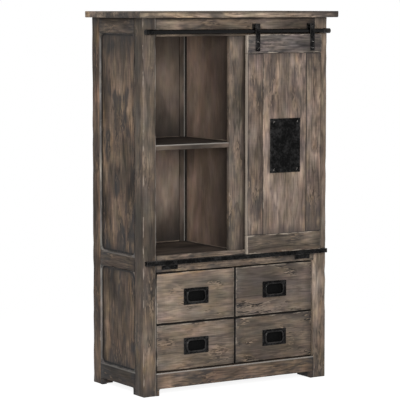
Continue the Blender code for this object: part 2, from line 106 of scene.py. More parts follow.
# %% The grain's noises
GRAIN = {  # name: (length along the grain, width across it, in metres, detail)
    "clouds": (0.340, 0.150, 3.0),
    "figure": (0.700, 0.080, 1.0),
    "streaks": (0.240, 0.011, 2.0),
    "fibres": (0.100, 0.0045, 2.0),
    "mottle": (0.024, 0.012, 2.0),
    "tint": (0.110, 0.050, 2.0),
    "bare": (0.220, 0.060, 2.0),
    "honey": (0.170, 0.060, 3.0),
    "patches": (0.200, 0.090, 3.0),
    "checks": (0.420, 0.045, 2.0),
    "saw_marks": (0.0055, 0.090, 1.0),
    "cracks": (0.100, 0.017, 3.0),
    "clusters": (0.150, 0.080, 2.0),
    "edges": (0.060, 0.030, 3.0),
}
FINE_SHARE = 0.6  # how much each finer layer of a noise adds


def stretched_noises(tree, board, seed):
    """A noise texture for each row of GRAIN."""
    noises = {}
    for name, (along, across, detail) in GRAIN.items():
        stretched = add_node(tree, "ShaderNodeVectorMath", {0: board, 1: (1 / along, 1 / across, 1 / across)},
                             operation="MULTIPLY")
        noises[name] = add_node(tree, "ShaderNodeTexNoise", {
            "Vector": stretched, "W": seed, "Scale": 1.0, "Detail": detail, "Roughness": FINE_SHARE},
            noise_dimensions="4D")
    return noises


print("noises:", ", ".join(GRAIN))

# %% [markdown]
# Each noise makes the wood lighter or darker, and the factors are multiplied. Growth rings are the height
# lines of a long, slow noise. Checks, the fine cracks along the grain, are a thin band round one height of
# another noise.

# %% Light and dark along the grain
RING_COUNT = 11.0
CHECK_LINE = 0.5
SHADES = {  # name: the values where it is darkest and lightest, and the shades of the wood there
    "streaks": (0.38, 0.62, 0.84, 1.16),
    "fibres": (0.36, 0.64, 0.64, 1.36),
    "mottle": (0.30, 0.70, 0.90, 1.10),
    "saw_marks": (0.35, 0.65, 0.95, 1.05),
    "rings": (-1.0, 1.0, 0.93, 1.07),
    "checks": (0.0, 0.030, 0.45, 1.0),
}
CLOUD_DARK, CLOUD_LIGHT = 0.36, 0.64


def grain_shade(tree, noise, brushed, clouded, tone):
    """How light the wood is: its grain, its clouds and its tone."""
    turns = add_node(tree, "ShaderNodeMath", {0: noise["figure"], 1: 2 * math.pi * RING_COUNT},
                     operation="MULTIPLY")
    off_line = add_node(tree, "ShaderNodeMath", {0: noise["checks"], 1: CHECK_LINE}, operation="SUBTRACT")
    values = {**noise, "rings": add_node(tree, "ShaderNodeMath", {0: turns}, operation="SINE"),
              "checks": add_node(tree, "ShaderNodeMath", {0: off_line}, operation="ABSOLUTE")}
    shade = 1.0
    for name, (low, high, dark, light) in SHADES.items():
        factor = add_node(tree, "ShaderNodeMapRange", {
            "Value": values[name], "From Min": low, "From Max": high, "To Min": dark, "To Max": light})
        shade = add_node(tree, "ShaderNodeMath", {0: shade, 1: factor}, operation="MULTIPLY")
    shade = add_node(tree, "ShaderNodeMath", {0: shade, 1: brushed}, operation="POWER")
    depth = add_node(tree, "ShaderNodeMapRange", {
        "Value": noise["clouds"], "From Min": CLOUD_DARK, "From Max": CLOUD_LIGHT,
        "To Min": -1.0, "To Max": 1.0})
    cloud = add_node(tree, "ShaderNodeMath", {0: depth, 1: clouded, 2: 1.0}, operation="MULTIPLY_ADD")
    for factor in (cloud, tone):
        shade = add_node(tree, "ShaderNodeMath", {0: shade, 1: factor}, operation="MULTIPLY")
    return shade


print("shades:", ", ".join(SHADES))

# %% [markdown]
# Wear, dirt and painted shade need to know where the edges are, and that takes no extra geometry. In a
# board's own coordinates, the distance to each pair of faces is the half size minus the coordinate. On the
# surface the smallest of the three is zero, so the middle one is the distance to the nearest edge. The
# distance to one side, or to the arris between two, is the half size minus the coordinate along that
# direction.

# %% Distances on a board
def edge_distances(tree, board, half_size, crossing, ground):
    """Distances to the nearest edge and the nearest end, and the height above the shelf or floor below."""
    reach = add_node(tree, "ShaderNodeVectorMath", {0: board}, operation="ABSOLUTE")
    inset = add_node(tree, "ShaderNodeVectorMath", {0: half_size, 1: reach}, operation="SUBTRACT")
    depth = add_node(tree, "ShaderNodeSeparateXYZ", {0: inset}).outputs
    nearer = add_node(tree, "ShaderNodeMath", {0: depth[0], 1: depth[1]}, operation="MINIMUM")
    farther = add_node(tree, "ShaderNodeMath", {0: depth[0], 1: depth[1]}, operation="MAXIMUM")
    capped = add_node(tree, "ShaderNodeMath", {0: farther, 1: depth[2]}, operation="MINIMUM")
    edge = add_node(tree, "ShaderNodeMath", {0: nearer, 1: capped}, operation="MAXIMUM")
    along = add_node(tree, "ShaderNodeSeparateXYZ", {0: board})
    over_shelf = add_node(tree, "ShaderNodeMath", {0: along, 1: crossing}, operation="GREATER_THAN")
    base = add_node(tree, "ShaderNodeMapRange", {"Value": over_shelf, "To Min": ground, "To Max": crossing})
    above = add_node(tree, "ShaderNodeMath", {0: along, 1: base}, operation="SUBTRACT")
    return edge, depth[0], above


def side_distance(tree, board, half_size, direction):
    """The distance to the side that a direction points at."""
    lengths = add_node(tree, "ShaderNodeVectorMath", {0: direction}, operation="ABSOLUTE")
    reach = add_node(tree, "ShaderNodeVectorMath", {0: lengths, 1: half_size}, operation="DOT_PRODUCT")
    place = add_node(tree, "ShaderNodeVectorMath", {0: direction, 1: board}, operation="DOT_PRODUCT")
    return add_node(tree, "ShaderNodeMath", {0: reach.outputs["Value"], 1: place.outputs["Value"]},
                    operation="SUBTRACT")


print("distances: edge, end, height and side")

# %% [markdown]
# The finish is a stack of layers, and a number from none to all says how much of a layer shows at a point.
# It comes from a noise or a distance, and is eased from nothing at one value to the most at another. The
# wash keeps to the valleys between fibres, so its patches end in fine strands. A crack is a thin band round
# one value of its noise, its pale lip lies beside it, and both come in clusters. Pinholes and knots are
# spots at scattered cell centres.

# %% Where each layer shows
BARE_FROM, BARE_TO, BARE_SHOWN = 0.36, 0.74, 0.90
HONEY_FROM, HONEY_TO = 0.54, 0.74
WASH_FROM, WASH_TO, STRAND_SHARE = 0.61, 0.74, 0.25
CLUSTER_FROM, CLUSTER_TO = 0.52, 0.62
CRACK_LINES = {"crack": 0.50, "lip": 0.555}
CRACK_BAND = 0.040
CRACK_CORE = CRACK_BAND / 3
WEAR_FROM, WEAR_TO = 0.80, 1.05
WEAR_REACH, WEAR_LEAST, WEAR_SHOWN = 0.011, 0.0001, 0.70
# the last is how far above a shelf or floor a board grows darker
END_REACH, JOINT_REACH, LOW_DARKENING_REACH = 0.055, 0.009, 0.270
# from this far behind a front face, a board is painted near black as the shade of a gap
SHADE_BEHIND_FROM, SHADE_BEHIND_TO = 0.0003, 0.0030
SPOTS = {  # name: spacing along and across the grain, radius as a share of the spacing
    "holes": (0.110, 0.110, 0.020),
    "knots": (0.420, 0.120, 0.10),
}
SPOT_CORE = 0.4  # the share of a spot that is fully dark


def layers_shown(tree, given, noise):
    """How much of each layer shows at a point of a board."""
    board, half_size = given["Board"], given["Half Size"]
    edge, end, above = edge_distances(tree, board, half_size, given["Crossing"], given["Ground"])
    side, behind = (side_distance(tree, board, half_size, given[name]) for name in ("Side", "Face"))
    strands = add_node(tree, "ShaderNodeMath", {0: noise["streaks"], 1: STRAND_SHARE, 2: noise["patches"]},
                       operation="MULTIPLY_ADD")
    cracked = add_node(tree, "ShaderNodeMapRange", {
        "Value": noise["clusters"], "From Min": CLUSTER_FROM, "From Max": CLUSTER_TO,
        "To Max": given["Cracks"]})
    bands = {}
    for name, line in CRACK_LINES.items():
        offset = add_node(tree, "ShaderNodeMath", {0: noise["cracks"], 1: line}, operation="SUBTRACT")
        off_line = add_node(tree, "ShaderNodeMath", {0: offset}, operation="ABSOLUTE")
        bands[name] = off_line, CRACK_BAND, CRACK_CORE, cracked
    worn = add_node(tree, "ShaderNodeMath", {0: noise["edges"], 1: given["Wear"]}, operation="ADD")
    wear_reach = add_node(tree, "ShaderNodeMapRange", {
        "Value": worn, "From Min": WEAR_FROM, "From Max": WEAR_TO,
        "To Min": WEAR_LEAST, "To Max": WEAR_REACH})
    # A board with a face to the front has its grime, painted shade, darkening towards the floor and side
    # colour there only, not at the back
    in_front = add_node(tree, "ShaderNodeMath", {0: behind, 1: SHADE_BEHIND_TO}, operation="LESS_THAN")
    grime_and_shade, low_darkening, side_amount = (
        add_node(tree, "ShaderNodeMath", {0: in_front, 1: given[name]}, operation="MULTIPLY")
        for name in ("Grime And Shade", "Low Darkening", "Side Amount"))
    shown = {}
    for name, (value, start, finish, most) in {
        "bare": (noise["bare"], BARE_FROM, BARE_TO, BARE_SHOWN),
        "honey": (noise["honey"], HONEY_FROM, HONEY_TO, given["Honey"]),
        "wash": (strands, WASH_FROM, WASH_TO, given["Washed"]),
        **bands,
        "wear": (edge, wear_reach, 0.0, WEAR_SHOWN),
        "side": (side, given["Side Reach"], 0.0, side_amount),
        # grime along edges, which in corners and round sunk panels is painted shade
        "grime_and_shade": (edge, given["Grime And Shade Reach"], 0.0, grime_and_shade),
        # darker towards the shelf or floor below
        "low_darkening": (above, LOW_DARKENING_REACH, 0.0, low_darkening),
        "end soiling": (end, END_REACH, 0.0, given["End Soiling"]),
        "joint": (end, JOINT_REACH, 0.0, given["Joint"]),
        # painted shade behind a front face, as in the gap round a drawer
        "shade_behind_face": (behind, SHADE_BEHIND_FROM, SHADE_BEHIND_TO, given["Gap"]),
    }.items():
        shown[name] = add_node(tree, "ShaderNodeMapRange", {
            "Value": value, "From Min": start, "From Max": finish, "To Max": most},
            interpolation_type="SMOOTHSTEP")
    for name, (along, across, radius) in SPOTS.items():
        spread = add_node(tree, "ShaderNodeVectorMath", {0: board, 1: (1 / along, 1 / across, 1 / across)},
                          operation="MULTIPLY")
        cells = add_node(tree, "ShaderNodeTexVoronoi", {"Vector": spread, "W": given["Seed"], "Scale": 1.0},
                         voronoi_dimensions="4D")
        shown[name] = add_node(tree, "ShaderNodeMapRange", {
            "Value": cells.outputs["Distance"], "From Min": radius * SPOT_CORE, "From Max": radius,
            "To Min": 1.0, "To Max": 0.0}, interpolation_type="SMOOTHSTEP")
    return shown


print("cracks and lips:", CRACK_LINES, "spots:", ", ".join(SPOTS))

# %% [markdown]
# The group puts the finish together much as it was made: stain, bare wood and honey-coloured spots, then
# the tint and the grain, then the dark wash, cracks with pale lips, worn edges, knots and pinholes. Dirt
# and painted shade come last: grime along edges, which in corners and round sunk panels is painted shade,
# dirt at ends, darkening above shelves and floors, dark joints, and painted shade in the gap round a
# drawer. A side may have a colour of its own: mostly a painted highlight along an arris, and on some boards
# painted shade.

# %% The wood's node group
WOOD_COLOURS = ("Stain", "Bare", "Wash", "Edge", "Side Color")
WOOD_DIRECTIONS = ("Side", "Face")
WOOD_SOCKETS = {
    **dict.fromkeys(("Board", "Half Size", *WOOD_DIRECTIONS), "Vector"),
    **dict.fromkeys(("Seed", "Tone", "Brushed", "Clouded", "Honey", "Washed", "Wear", "Grime And Shade", "Grime And Shade Reach",
                     "End Soiling", "Joint", "Crossing", "Ground", "Low Darkening", "Cracks", "Side Reach",
                     "Side Amount", "Gap"), "Float"),
    **dict.fromkeys(WOOD_COLOURS, "Color"),
}
HONEY = "#a5895f"
# the first is near black, for cracks and for the painted shade of gaps; the second is dark, for grime,
# painted shade in corners, darkening above floors and dark joints
CRACK_AND_SHADE_BLACK, DIRT_AND_CORNER_SHADE = "#0d0b0a", "#1d1a18"
TINT = (0.32, 0.12, 0.42)  # how far red, green and blue may drift apart from spot to spot
COLOUR_A, COLOUR_B, MIXED_COLOUR = 6, 7, 2  # the Mix node's sockets for colours
NOISE_LOW, NOISE_HIGH = 0.3, 0.7  # most of a noise lies between these
SMOOTHEST, ROUGHEST = 0.58, 0.82


def lay_over(tree, colour, shown, layers):
    """Lays coloured layers over a colour, each as much as it shows."""
    for name, layer in layers.items():
        colour = add_node(tree, "ShaderNodeMix", {0: shown[name], COLOUR_A: colour, COLOUR_B: layer},
                          data_type="RGBA").outputs[MIXED_COLOUR]
    return colour


def build_wood_group():
    """The wood's colour, roughness and relief, from a place on a board and the board's own look."""
    tree = bpy.data.node_groups.new("washed wood", "ShaderNodeTree")
    add_sockets(tree, "INPUT", WOOD_SOCKETS)
    add_sockets(tree, "OUTPUT", {"Color": "Color", "Roughness": "Float", "Height": "Float"})
    given = add_node(tree, "NodeGroupInput").outputs
    noise = stretched_noises(tree, given["Board"], given["Seed"])
    shade = grain_shade(tree, noise, given["Brushed"], given["Clouded"], given["Tone"])
    shown = layers_shown(tree, given, noise)
    bare, wash, dirt_and_corner_shade, crack_and_shade_black = given["Bare"], given["Wash"], linear(DIRT_AND_CORNER_SHADE), linear(CRACK_AND_SHADE_BLACK)
    colour = lay_over(tree, given["Stain"], shown, {"bare": bare, "honey": linear(HONEY)})
    tint = add_node(tree, "ShaderNodeVectorMath", {
        0: noise["tint"].outputs["Color"], 1: TINT, 2: [1 - drift / 2 for drift in TINT]},
        operation="MULTIPLY_ADD")
    tinted = add_node(tree, "ShaderNodeVectorMath", {0: colour, 1: tint}, operation="MULTIPLY")
    shaded = add_node(tree, "ShaderNodeVectorMath", {0: tinted, "Scale": shade}, operation="SCALE")
    colour = lay_over(tree, shaded, shown, {
        "wash": wash, "crack": crack_and_shade_black, "lip": bare, "wear": given["Edge"], "knots": wash, "holes": wash,
        "grime_and_shade": dirt_and_corner_shade, "end soiling": wash, "low_darkening": dirt_and_corner_shade, "joint": dirt_and_corner_shade, "side": given["Side Color"],
        "shade_behind_face": crack_and_shade_black})
    roughness = add_node(tree, "ShaderNodeMapRange", {
        "Value": noise["streaks"], "From Min": NOISE_LOW, "From Max": NOISE_HIGH,
        "To Min": SMOOTHEST, "To Max": ROUGHEST})
    # The brushed surface: fibres and streaks stand up, and pinholes sink in
    raised = add_node(tree, "ShaderNodeMath", {0: noise["fibres"], 1: noise["streaks"]}, operation="ADD")
    relief = add_node(tree, "ShaderNodeMath", {0: raised, 1: shown["holes"]}, operation="SUBTRACT")
    add_node(tree, "NodeGroupOutput", {"Color": colour, "Roughness": roughness, "Height": relief})
    return tree


WOOD_GROUP = build_wood_group()
print("wood group:", len(WOOD_GROUP.nodes), "nodes")

# %% [markdown]
# ## One cut of wood for each board
# If all boards shared one material, the grain would run across the joints as if the case were carved from a
# block. So each board gets a material of its own from the same group. A Mapping node puts the pattern's
# origin in the middle of the board and turns it until the grain runs along it, and a seed gives it its own
# figure.

# %% Finishes and a function that cuts a board's material
GRAIN_TURN = {"x": (0, 0, 0), "y": (0, 0, -math.pi / 2), "z": (0, math.pi / 2, 0)}
FINISHES = {
    "weathered_wood": {"Stain": "#655a50", "Bare": "#927f6d", "Wash": "#2c2c2e", "Edge": "#c4b6a6"},
    "inner_wood": {"Stain": "#6e6055", "Bare": "#7f6f63", "Wash": "#2a2624", "Edge": "#a8988a"},
}
FAR_AWAY = 10.0
PLAIN_BOARD = {
    "Tone": 1.0, "Brushed": 1.0, "Clouded": 0.64, "Honey": 0.35, "Washed": 0.75, "Wear": 0.0, "Grime And Shade": 0.0,
    "Grime And Shade Reach": 0.010, "End Soiling": 0.45, "Joint": 0.0, "Crossing": FAR_AWAY, "Ground": -FAR_AWAY,
    "Low Darkening": 0.0, "Cracks": 0.45, "Side": (0, 0, 0), "Side Reach": 0.005, "Side Amount": 0.0,
    "Side Color": "#000000", "Face": (0, 0, 0), "Gap": 0.0,
}
BUMP_DEPTH, BUMP_STRENGTH = 0.0009, 0.6
WOOD_SPECULAR = 0.25
SEED_STEP = 3.7
cut_boards = []


def cut_board(name, box, grain, slot, look):
    """A material for one board, which is a box between two corners with its grain along one axis."""
    turn = Euler(GRAIN_TURN[grain]).to_matrix()
    low, high = box
    half = (high - low) / 2
    cut_boards.append(name)
    made = bpy.data.materials.new(f"washed_pine_{name}")
    made.use_nodes = True
    tree = made.node_tree
    place = add_node(tree, "ShaderNodeTexCoord").outputs["Object"]
    own = add_node(tree, "ShaderNodeMapping", {
        "Vector": place, "Location": -(turn @ ((low + high) / 2)), "Rotation": GRAIN_TURN[grain]})
    sockets = {**FINISHES[slot], **PLAIN_BOARD, "Seed": SEED_STEP * len(cut_boards),
               "Half Size": [abs(extent) for extent in turn @ half], **look}
    sockets.update({name: turn @ Vector(sockets[name]) for name in WOOD_DIRECTIONS})
    sockets.update({name: linear(sockets[name]) for name in WOOD_COLOURS})
    wood = add_node(tree, "ShaderNodeGroup", {"Board": own, **sockets}, node_tree=WOOD_GROUP)
    bump = add_node(tree, "ShaderNodeBump", {
        "Height": wood.outputs["Height"], "Strength": BUMP_STRENGTH, "Distance": BUMP_DEPTH})
    fill_sockets(tree.nodes["Principled BSDF"], {
        "Specular IOR Level": WOOD_SPECULAR, "Base Color": wood.outputs["Color"],
        "Roughness": wood.outputs["Roughness"], "Normal": bump})
    return made


print("finishes:", ", ".join(FINISHES))

# %% [markdown]
# ## Which way the grain runs
# A joiner runs the grain along the longest side of a piece: up in posts, stiles and panels, along in rails
# and drawer fronts. The boards differ in tone too, because they came from different planks. The deck and
# the shelves are toned down as painted shade, and the inner boards have painted shade in their corners.

# %% Looks that boards share
LEFT, RIGHT, FORWARD, UP = Vector((-1, 0, 0)), Vector((1, 0, 0)), Vector((0, -1, 0)), Vector((0, 0, 1))
HALFWAY = 0.7  # makes the sum of two directions about as long as one
TOP_ARRIS = HALFWAY * (LEFT + UP)  # of a board in the left side
UPPER_ARRIS = HALFWAY * (FORWARD + UP)  # of a board at the front
INNER_ARRIS = HALFWAY * (RIGHT + FORWARD)  # of the left front post
# the inner boards' look: its grime along edges paints shade into their corners
INNER_WITH_CORNER_SHADE = {"Grime And Shade": 0.80, "Grime And Shade Reach": 0.050, "End Soiling": 0.0, "Brushed": 0.30, "Honey": 0.1, "Washed": 0.4,
         "Cracks": 0.0}
BOARD_JOINT = {"Grime And Shade": 0.95, "Grime And Shade Reach": 0.0085}
PINKISH = {"Stain": "#685b52", "Bare": "#947f6e", "Wash": "#353233", "Washed": 0.66}
# a painted highlight along an arris that faces the light
ARRIS_HIGHLIGHT = {"Side Reach": 0.0055, "Side Amount": 0.80, "Side Color": "#a5a09a"}
PALE_LEFT = {"Side": LEFT, "Side Reach": 0.003, "Side Amount": 0.6, "Side Color": "#b3a698"}
SHADED_TOP = {"Side": UP, "Side Reach": 0.014, "Side Amount": 0.85, "Side Color": "#1c1816"}
# the sunk panels are painted darker along their edges as shade
SIDE_PANEL = {"Tone": 0.74, "Brushed": 1.15, "Clouded": 0.85, "Grime And Shade": 0.45, "Grime And Shade Reach": 0.030,
              "Washed": 0.85, "Stain": "#65564a", "Bare": "#937c67"}
SIDE_RAIL = {"Brushed": 1.2, "Joint": 0.8, "Side": TOP_ARRIS, **ARRIS_HIGHLIGHT, "Side Amount": 0.45}
# the sides of a drawer front are painted near black as the shade in the gap round it
DRAWER = {"Gap": 0.98, "Face": FORWARD, "Clouded": 0.40, "Wear": 0.44, "Washed": 0.40, "End Soiling": 0.25,
          "Cracks": 0.9}
print("an inner board with corner shade:", INNER_WITH_CORNER_SHADE)

# %% [markdown]
# What differs from a plain board is looked up by the start of a node's name. The first start that fits
# counts, so longer ones come first. The right side mirrors the left. A board that is darker towards the
# shelf or floor below it is also told where the shelf and the floor meet it.

# %% Dress the wooden nodes
UPRIGHT = ("post_", "centre_stile", "side_panel", "door_left", "door_middle", "door_right", "partition",
           "back_panel")
FRONT_TO_BACK = ("side_top_rail", "side_mid_rail", "side_bottom_rail", "drawer_divider")
LOOKS = {  # start of a node's name: what differs from a plain board
    "top_board": {"Tone": 1.80, "Brushed": 1.2, "Wear": 0.18, "Washed": 0.7, "End Soiling": 0.50,
                  "Face": FORWARD, "Side": UPPER_ARRIS, "Side Reach": 0.012, "Side Amount": 0.85,
                  "Side Color": "#2b2622"},
    "post_front_left": {"Tone": 0.62, "Brushed": 0.75, "Clouded": 0.45, "Wear": 0.34, "Washed": 0.45,
                        "Edge": "#9c8f83", "Side": INNER_ARRIS, **ARRIS_HIGHLIGHT, "Side Amount": 0.5},
    "post_front_right": {"Tone": 1.20, "Brushed": 0.65, "Clouded": 0.45, "Wear": 0.30, "Washed": 0.45,
                         "Edge": "#9c8f83"},
    "post_back": {"Tone": 0.62, "Brushed": 1.2, "Wear": 0.20, "Washed": 0.45, "Stain": "#67564a",
                  "Bare": "#957b66"},
    "side_panel_upper": {**SIDE_PANEL, "Tone": 0.77, "Side": UP, "Side Reach": 0.42, "Side Amount": 0.55,
                         "Side Color": "#332f2d"},
    "side_panel": SIDE_PANEL,
    "side_top": {"Tone": 0.70, "Joint": 0.7, **SHADED_TOP},
    "side_mid": {**SIDE_RAIL, "Tone": 0.48, "Stain": "#67574b"},
    "side_": {**SIDE_RAIL, "Tone": 0.23},
    "front_top_rail": {"Tone": 0.82, "Brushed": 0.8, "Wear": 0.20, "Washed": 0.6, "Joint": 0.6, **SHADED_TOP},
    "front_apron": {"Tone": 0.72, "Wear": 0.25, "Stain": "#67574b", "Bare": "#957d68", "Joint": 0.8,
                    "Side": UPPER_ARRIS, **ARRIS_HIGHLIGHT},
    "front_": {"Tone": 0.95, "Wear": 0.25, "Joint": 0.8},
    # the stile's strip beside the door is painted dark as the door's shadow
    "centre_stile": {"Tone": 0.84, "Brushed": 0.75, "Clouded": 0.50, "Wear": 0.24, "Washed": 0.6,
                     "Side": RIGHT, "Side Reach": 0.026, "Side Amount": 0.8, "Side Color": "#231d19"},
    "door_left": {"Tone": 1.04, **BOARD_JOINT, **PINKISH, **PALE_LEFT},
    "door_top_rail": {"Tone": 0.92, "Wear": 0.40, "Stain": "#5b5450", "Bare": "#8b7f77", "Honey": 0.1,
                      "End Soiling": 0.2, **PALE_LEFT},
    "door_bottom_rail": {"Tone": 0.57, "Wear": 0.40, "Washed": 0.60, "End Soiling": 0.2, **PALE_LEFT},
    "door_middle": {"Tone": 1.38, "Brushed": 0.66, "Clouded": 0.58, "Wear": 0.30, "Grime And Shade": 0.9,
                    "Grime And Shade Reach": 0.004, **PINKISH},
    "door_": {"Tone": 1.16, **BOARD_JOINT, **PINKISH},
    "drawer_front_upper_right": {**DRAWER, "Tone": 0.96, "Honey": 0.15, "Brushed": 0.6, "Stain": "#665b53",
                                 "Bare": "#867769"},
    "drawer_front_lower_right": {**DRAWER, "Tone": 0.74, "Honey": 0.2, "Brushed": 0.65},
    "drawer_front_lower_left": {**DRAWER, "Tone": 1.08, "Honey": 0.3, "Brushed": 0.7, "Cracks": 0.6},
    "drawer_front": {**DRAWER, "Tone": 1.22, "Honey": 0.65, "Brushed": 0.55},
    # the shelf and the deck are toned down as painted shade on their tops, and the shelf is painted darker
    # behind its front face
    "shelf": {**INNER_WITH_CORNER_SHADE, "Grime And Shade": 0.0, "Tone": 0.58, "Gap": 0.62, "Face": FORWARD, "Side": UPPER_ARRIS,
              **ARRIS_HIGHLIGHT},
    "deck": {**INNER_WITH_CORNER_SHADE, "Tone": 0.40},
    # painted shade towards its top and in its corners, and darker towards the shelf or floor below
    "back_panel": {**INNER_WITH_CORNER_SHADE, "Tone": 1.46, "Brushed": 0.25, "Clouded": 0.50, "Washed": 0.15, "Grime And Shade": 0.65,
                   "Grime And Shade Reach": 0.130, "Low Darkening": 0.9, "Seed": 23.0, "Face": FORWARD, "Side": UP,
                   "Side Reach": 0.75, "Side Amount": 0.79, "Side Color": "#3d352f"},
    # painted shade towards the front stile and a little in its corners, and darker towards the shelf or floor
    # below
    "partition": {**INNER_WITH_CORNER_SHADE, "Tone": 1.55, "Brushed": 0.2, "Clouded": 0.38, "Washed": 0.2, "Stain": "#6e5d51",
                  "Bare": "#7e6b5f", "Grime And Shade": 0.25, "Low Darkening": 0.28, "Side": FORWARD, "Side Reach": 0.42,
                  "Side Amount": 0.95, "Side Color": "#2b2420"},
    "": INNER_WITH_CORNER_SHADE,
}
SLOT_OF = {part["node"]: part["material_slot"] for part in frame["record"]["subparts"]}
deck_top, shelf_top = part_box("deck_left")[1].z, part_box("shelf_left")[1].z


def row_for(node, table, otherwise=None):
    """What a table holds for the first key that a node's name starts with."""
    return next((value for start, value in table.items() if node.startswith(start)), otherwise)


def coat(node, material):
    """Gives a node its one material."""
    materials = frame["nodes"][node].data.materials
    materials.clear()
    materials.append(material)


for node, slot in sorted(SLOT_OF.items()):
    if slot not in FINISHES:
        continue
    grain = "z" if node.startswith(UPRIGHT) else "y" if node.startswith(FRONT_TO_BACK) else "x"
    look = dict(row_for(node, LOOKS))
    if "Side" in look and node.endswith("_right"):
        look["Side"] = look["Side"].reflect(LEFT)
    if "Low Darkening" in look:
        middle = sum(corner.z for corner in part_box(node)) / 2
        look.update({"Crossing": shelf_top - middle, "Ground": deck_top - middle})
    coat(node, cut_board(node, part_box(node), grain, slot, look))
print("boards cut:", len(cut_boards))

# %% [markdown]
# ## Black waxed iron
# The hardware is iron, cast or forged, blackened and waxed. The eye sees the black coat and the thin wax
# over it, not bare metal, so most of it isn't metallic: a very dark colour with a weak, soft gloss. Where
# hands rub it, some metal shows. The skin is a little pitted from the sand of the mould, which breaks up
# the highlights, and its edges are paler: rubbed, and with a painted highlight. A Bevel node finds them:
# near an edge, its rounded normal turns away from the flat one.

# %% Iron and nylon
IRON_PIT = 0.009  # drawn some times as coarse as the sand of a mould, so that it shows
NYLON_GRAIN = 0.002
PIT_DETAIL, PIT_STRENGTH = 2.0, 0.5
CLOUD_SIZE, CLOUD_DETAIL = 0.045, 3.0
SKIN_DARK, SKIN_LIGHT = 0.20, 0.40  # of the two noises multiplied
EDGE_WIDTH, EDGE_SAMPLES = 0.0030, 6
ALIKE, TURNED_AWAY = 0.99, 0.80  # of the two normals
SHINE_SPREAD = 0.08
SKINS = {  # name: dark, light and edge colour, width of the pits, roughness, metallic, specular, pits' depth
    "waxed_black_iron": ("#010101", "#282727", "#66625f", IRON_PIT, 0.32, 0.0, 0.07, 0.0025),
    "drawn_iron_bar": ("#040303", "#0c0a0a", "#2a2826", IRON_PIT, 0.24, 0.0, 0.15, 0.0003),
    "finger_rubbed_iron": ("#100f0e", "#322f2d", "#5d5956", IRON_PIT, 0.28, 0.5, 0.35, 0.0004),
    # rough iron, painted darker as the shade inside a pull's cup
    "raw_iron_with_cup_shade": ("#020202", "#0a0a0a", "#141313", IRON_PIT, 0.75, 0.0, 0.08, 0.0010),
    "rubbed_screw_steel": ("#94908b", "#b9b4ae", "#c6c1bb", IRON_PIT, 0.36, 0.7, 0.5, 0.0002),
    "moulded_black_nylon": ("#101010", "#191919", "#242424", NYLON_GRAIN, 0.6, 0.0, 0.4, 0.0002),
}


def rough_skin(name, dark, light, edge, pit, roughness, metallic, specular, pit_depth):
    """A material with a pitted skin, clouded between two colours, with paler edges: rubbed, and a painted
    highlight.
    """
    made = bpy.data.materials.new(name)
    made.use_nodes = True
    tree = made.node_tree
    place = add_node(tree, "ShaderNodeTexCoord").outputs["Object"]
    pits = add_node(tree, "ShaderNodeTexNoise", {"Vector": place, "Scale": 1 / pit, "Detail": PIT_DETAIL})
    clouds = add_node(tree, "ShaderNodeTexNoise", {
        "Vector": place, "Scale": 1 / CLOUD_SIZE, "Detail": CLOUD_DETAIL})
    both = add_node(tree, "ShaderNodeMath", {0: pits, 1: clouds}, operation="MULTIPLY")
    lightness = add_node(tree, "ShaderNodeMapRange", {
        "Value": both, "From Min": SKIN_DARK, "From Max": SKIN_LIGHT})
    rounded = add_node(tree, "ShaderNodeBevel", {"Radius": EDGE_WIDTH}, samples=EDGE_SAMPLES)
    flat = add_node(tree, "ShaderNodeNewGeometry").outputs["Normal"]
    likeness = add_node(tree, "ShaderNodeVectorMath", {0: rounded, 1: flat}, operation="DOT_PRODUCT")
    # paler along the edges: rubbed, and a painted highlight
    rubbed_and_highlit = add_node(tree, "ShaderNodeMapRange", {
        "Value": likeness.outputs["Value"], "From Min": ALIKE, "From Max": TURNED_AWAY, "To Max": clouds})
    colour = lay_over(tree, linear(dark), {"light": lightness, "edge": rubbed_and_highlit},
                      {"light": linear(light), "edge": linear(edge)})
    shine = add_node(tree, "ShaderNodeMapRange", {
        "Value": clouds, "From Min": NOISE_LOW, "From Max": NOISE_HIGH,
        "To Min": roughness - SHINE_SPREAD, "To Max": roughness + SHINE_SPREAD})
    bump = add_node(tree, "ShaderNodeBump", {"Height": pits, "Strength": PIT_STRENGTH, "Distance": pit_depth})
    fill_sockets(tree.nodes["Principled BSDF"], {
        "Metallic": metallic, "Specular IOR Level": specular, "Base Color": colour, "Roughness": shine,
        "Normal": bump})
    return made


IRON, BAR_IRON, RUBBED_IRON, CUP_SHADE_IRON, SCREW_STEEL, NYLON = (
    rough_skin(name, *skin) for name, skin in SKINS.items())
for node, slot in SLOT_OF.items():
    if slot not in FINISHES:
        coat(node, IRON if slot == "black_iron" else NYLON)
print("iron and nylon pieces:", len(SLOT_OF) - len(cut_boards))

# %% [markdown]
# ## Lofting
# Many fittings are a stack of rings: a drawer pull is a rounded rectangle that shrinks, rises to a rim and
# drops into a cup. Joining ring to ring with quads makes such a shape in one piece, with every curve where
# it is wanted. The same function closes the stack with two caps, or bends it round into a frame whose last
# ring meets the first.

# %% Rings, lofts and a function that hands a piece to its body
CORNER_STEPS = 6
LOFT_CREASE, CUT_CREASE = 40, 35  # edges that bend more, in degrees, stay sharp


def rounded_ring(width, height, radius, to_place):
    """Points of a rounded rectangle, moved from (across, up) to their place."""
    points = []
    for quarter, (across, up) in enumerate(((1, 1), (-1, 1), (-1, -1), (1, -1))):
        for step in range(CORNER_STEPS + 1):
            angle = math.pi / 2 * (quarter + step / CORNER_STEPS)
            points.append(to_place(across * (width / 2 - radius) + radius * math.cos(angle),
                                   up * (height / 2 - radius) + radius * math.sin(angle)))
    return points


def smooth_mesh(name, bm, crease):
    """The mesh that was worked on, smooth but for its creases."""
    mesh = bpy.data.meshes.new(name)
    bm.to_mesh(mesh)
    bm.free()
    mesh.shade_smooth()
    mesh.set_sharp_from_angle(angle=math.radians(crease))
    return mesh


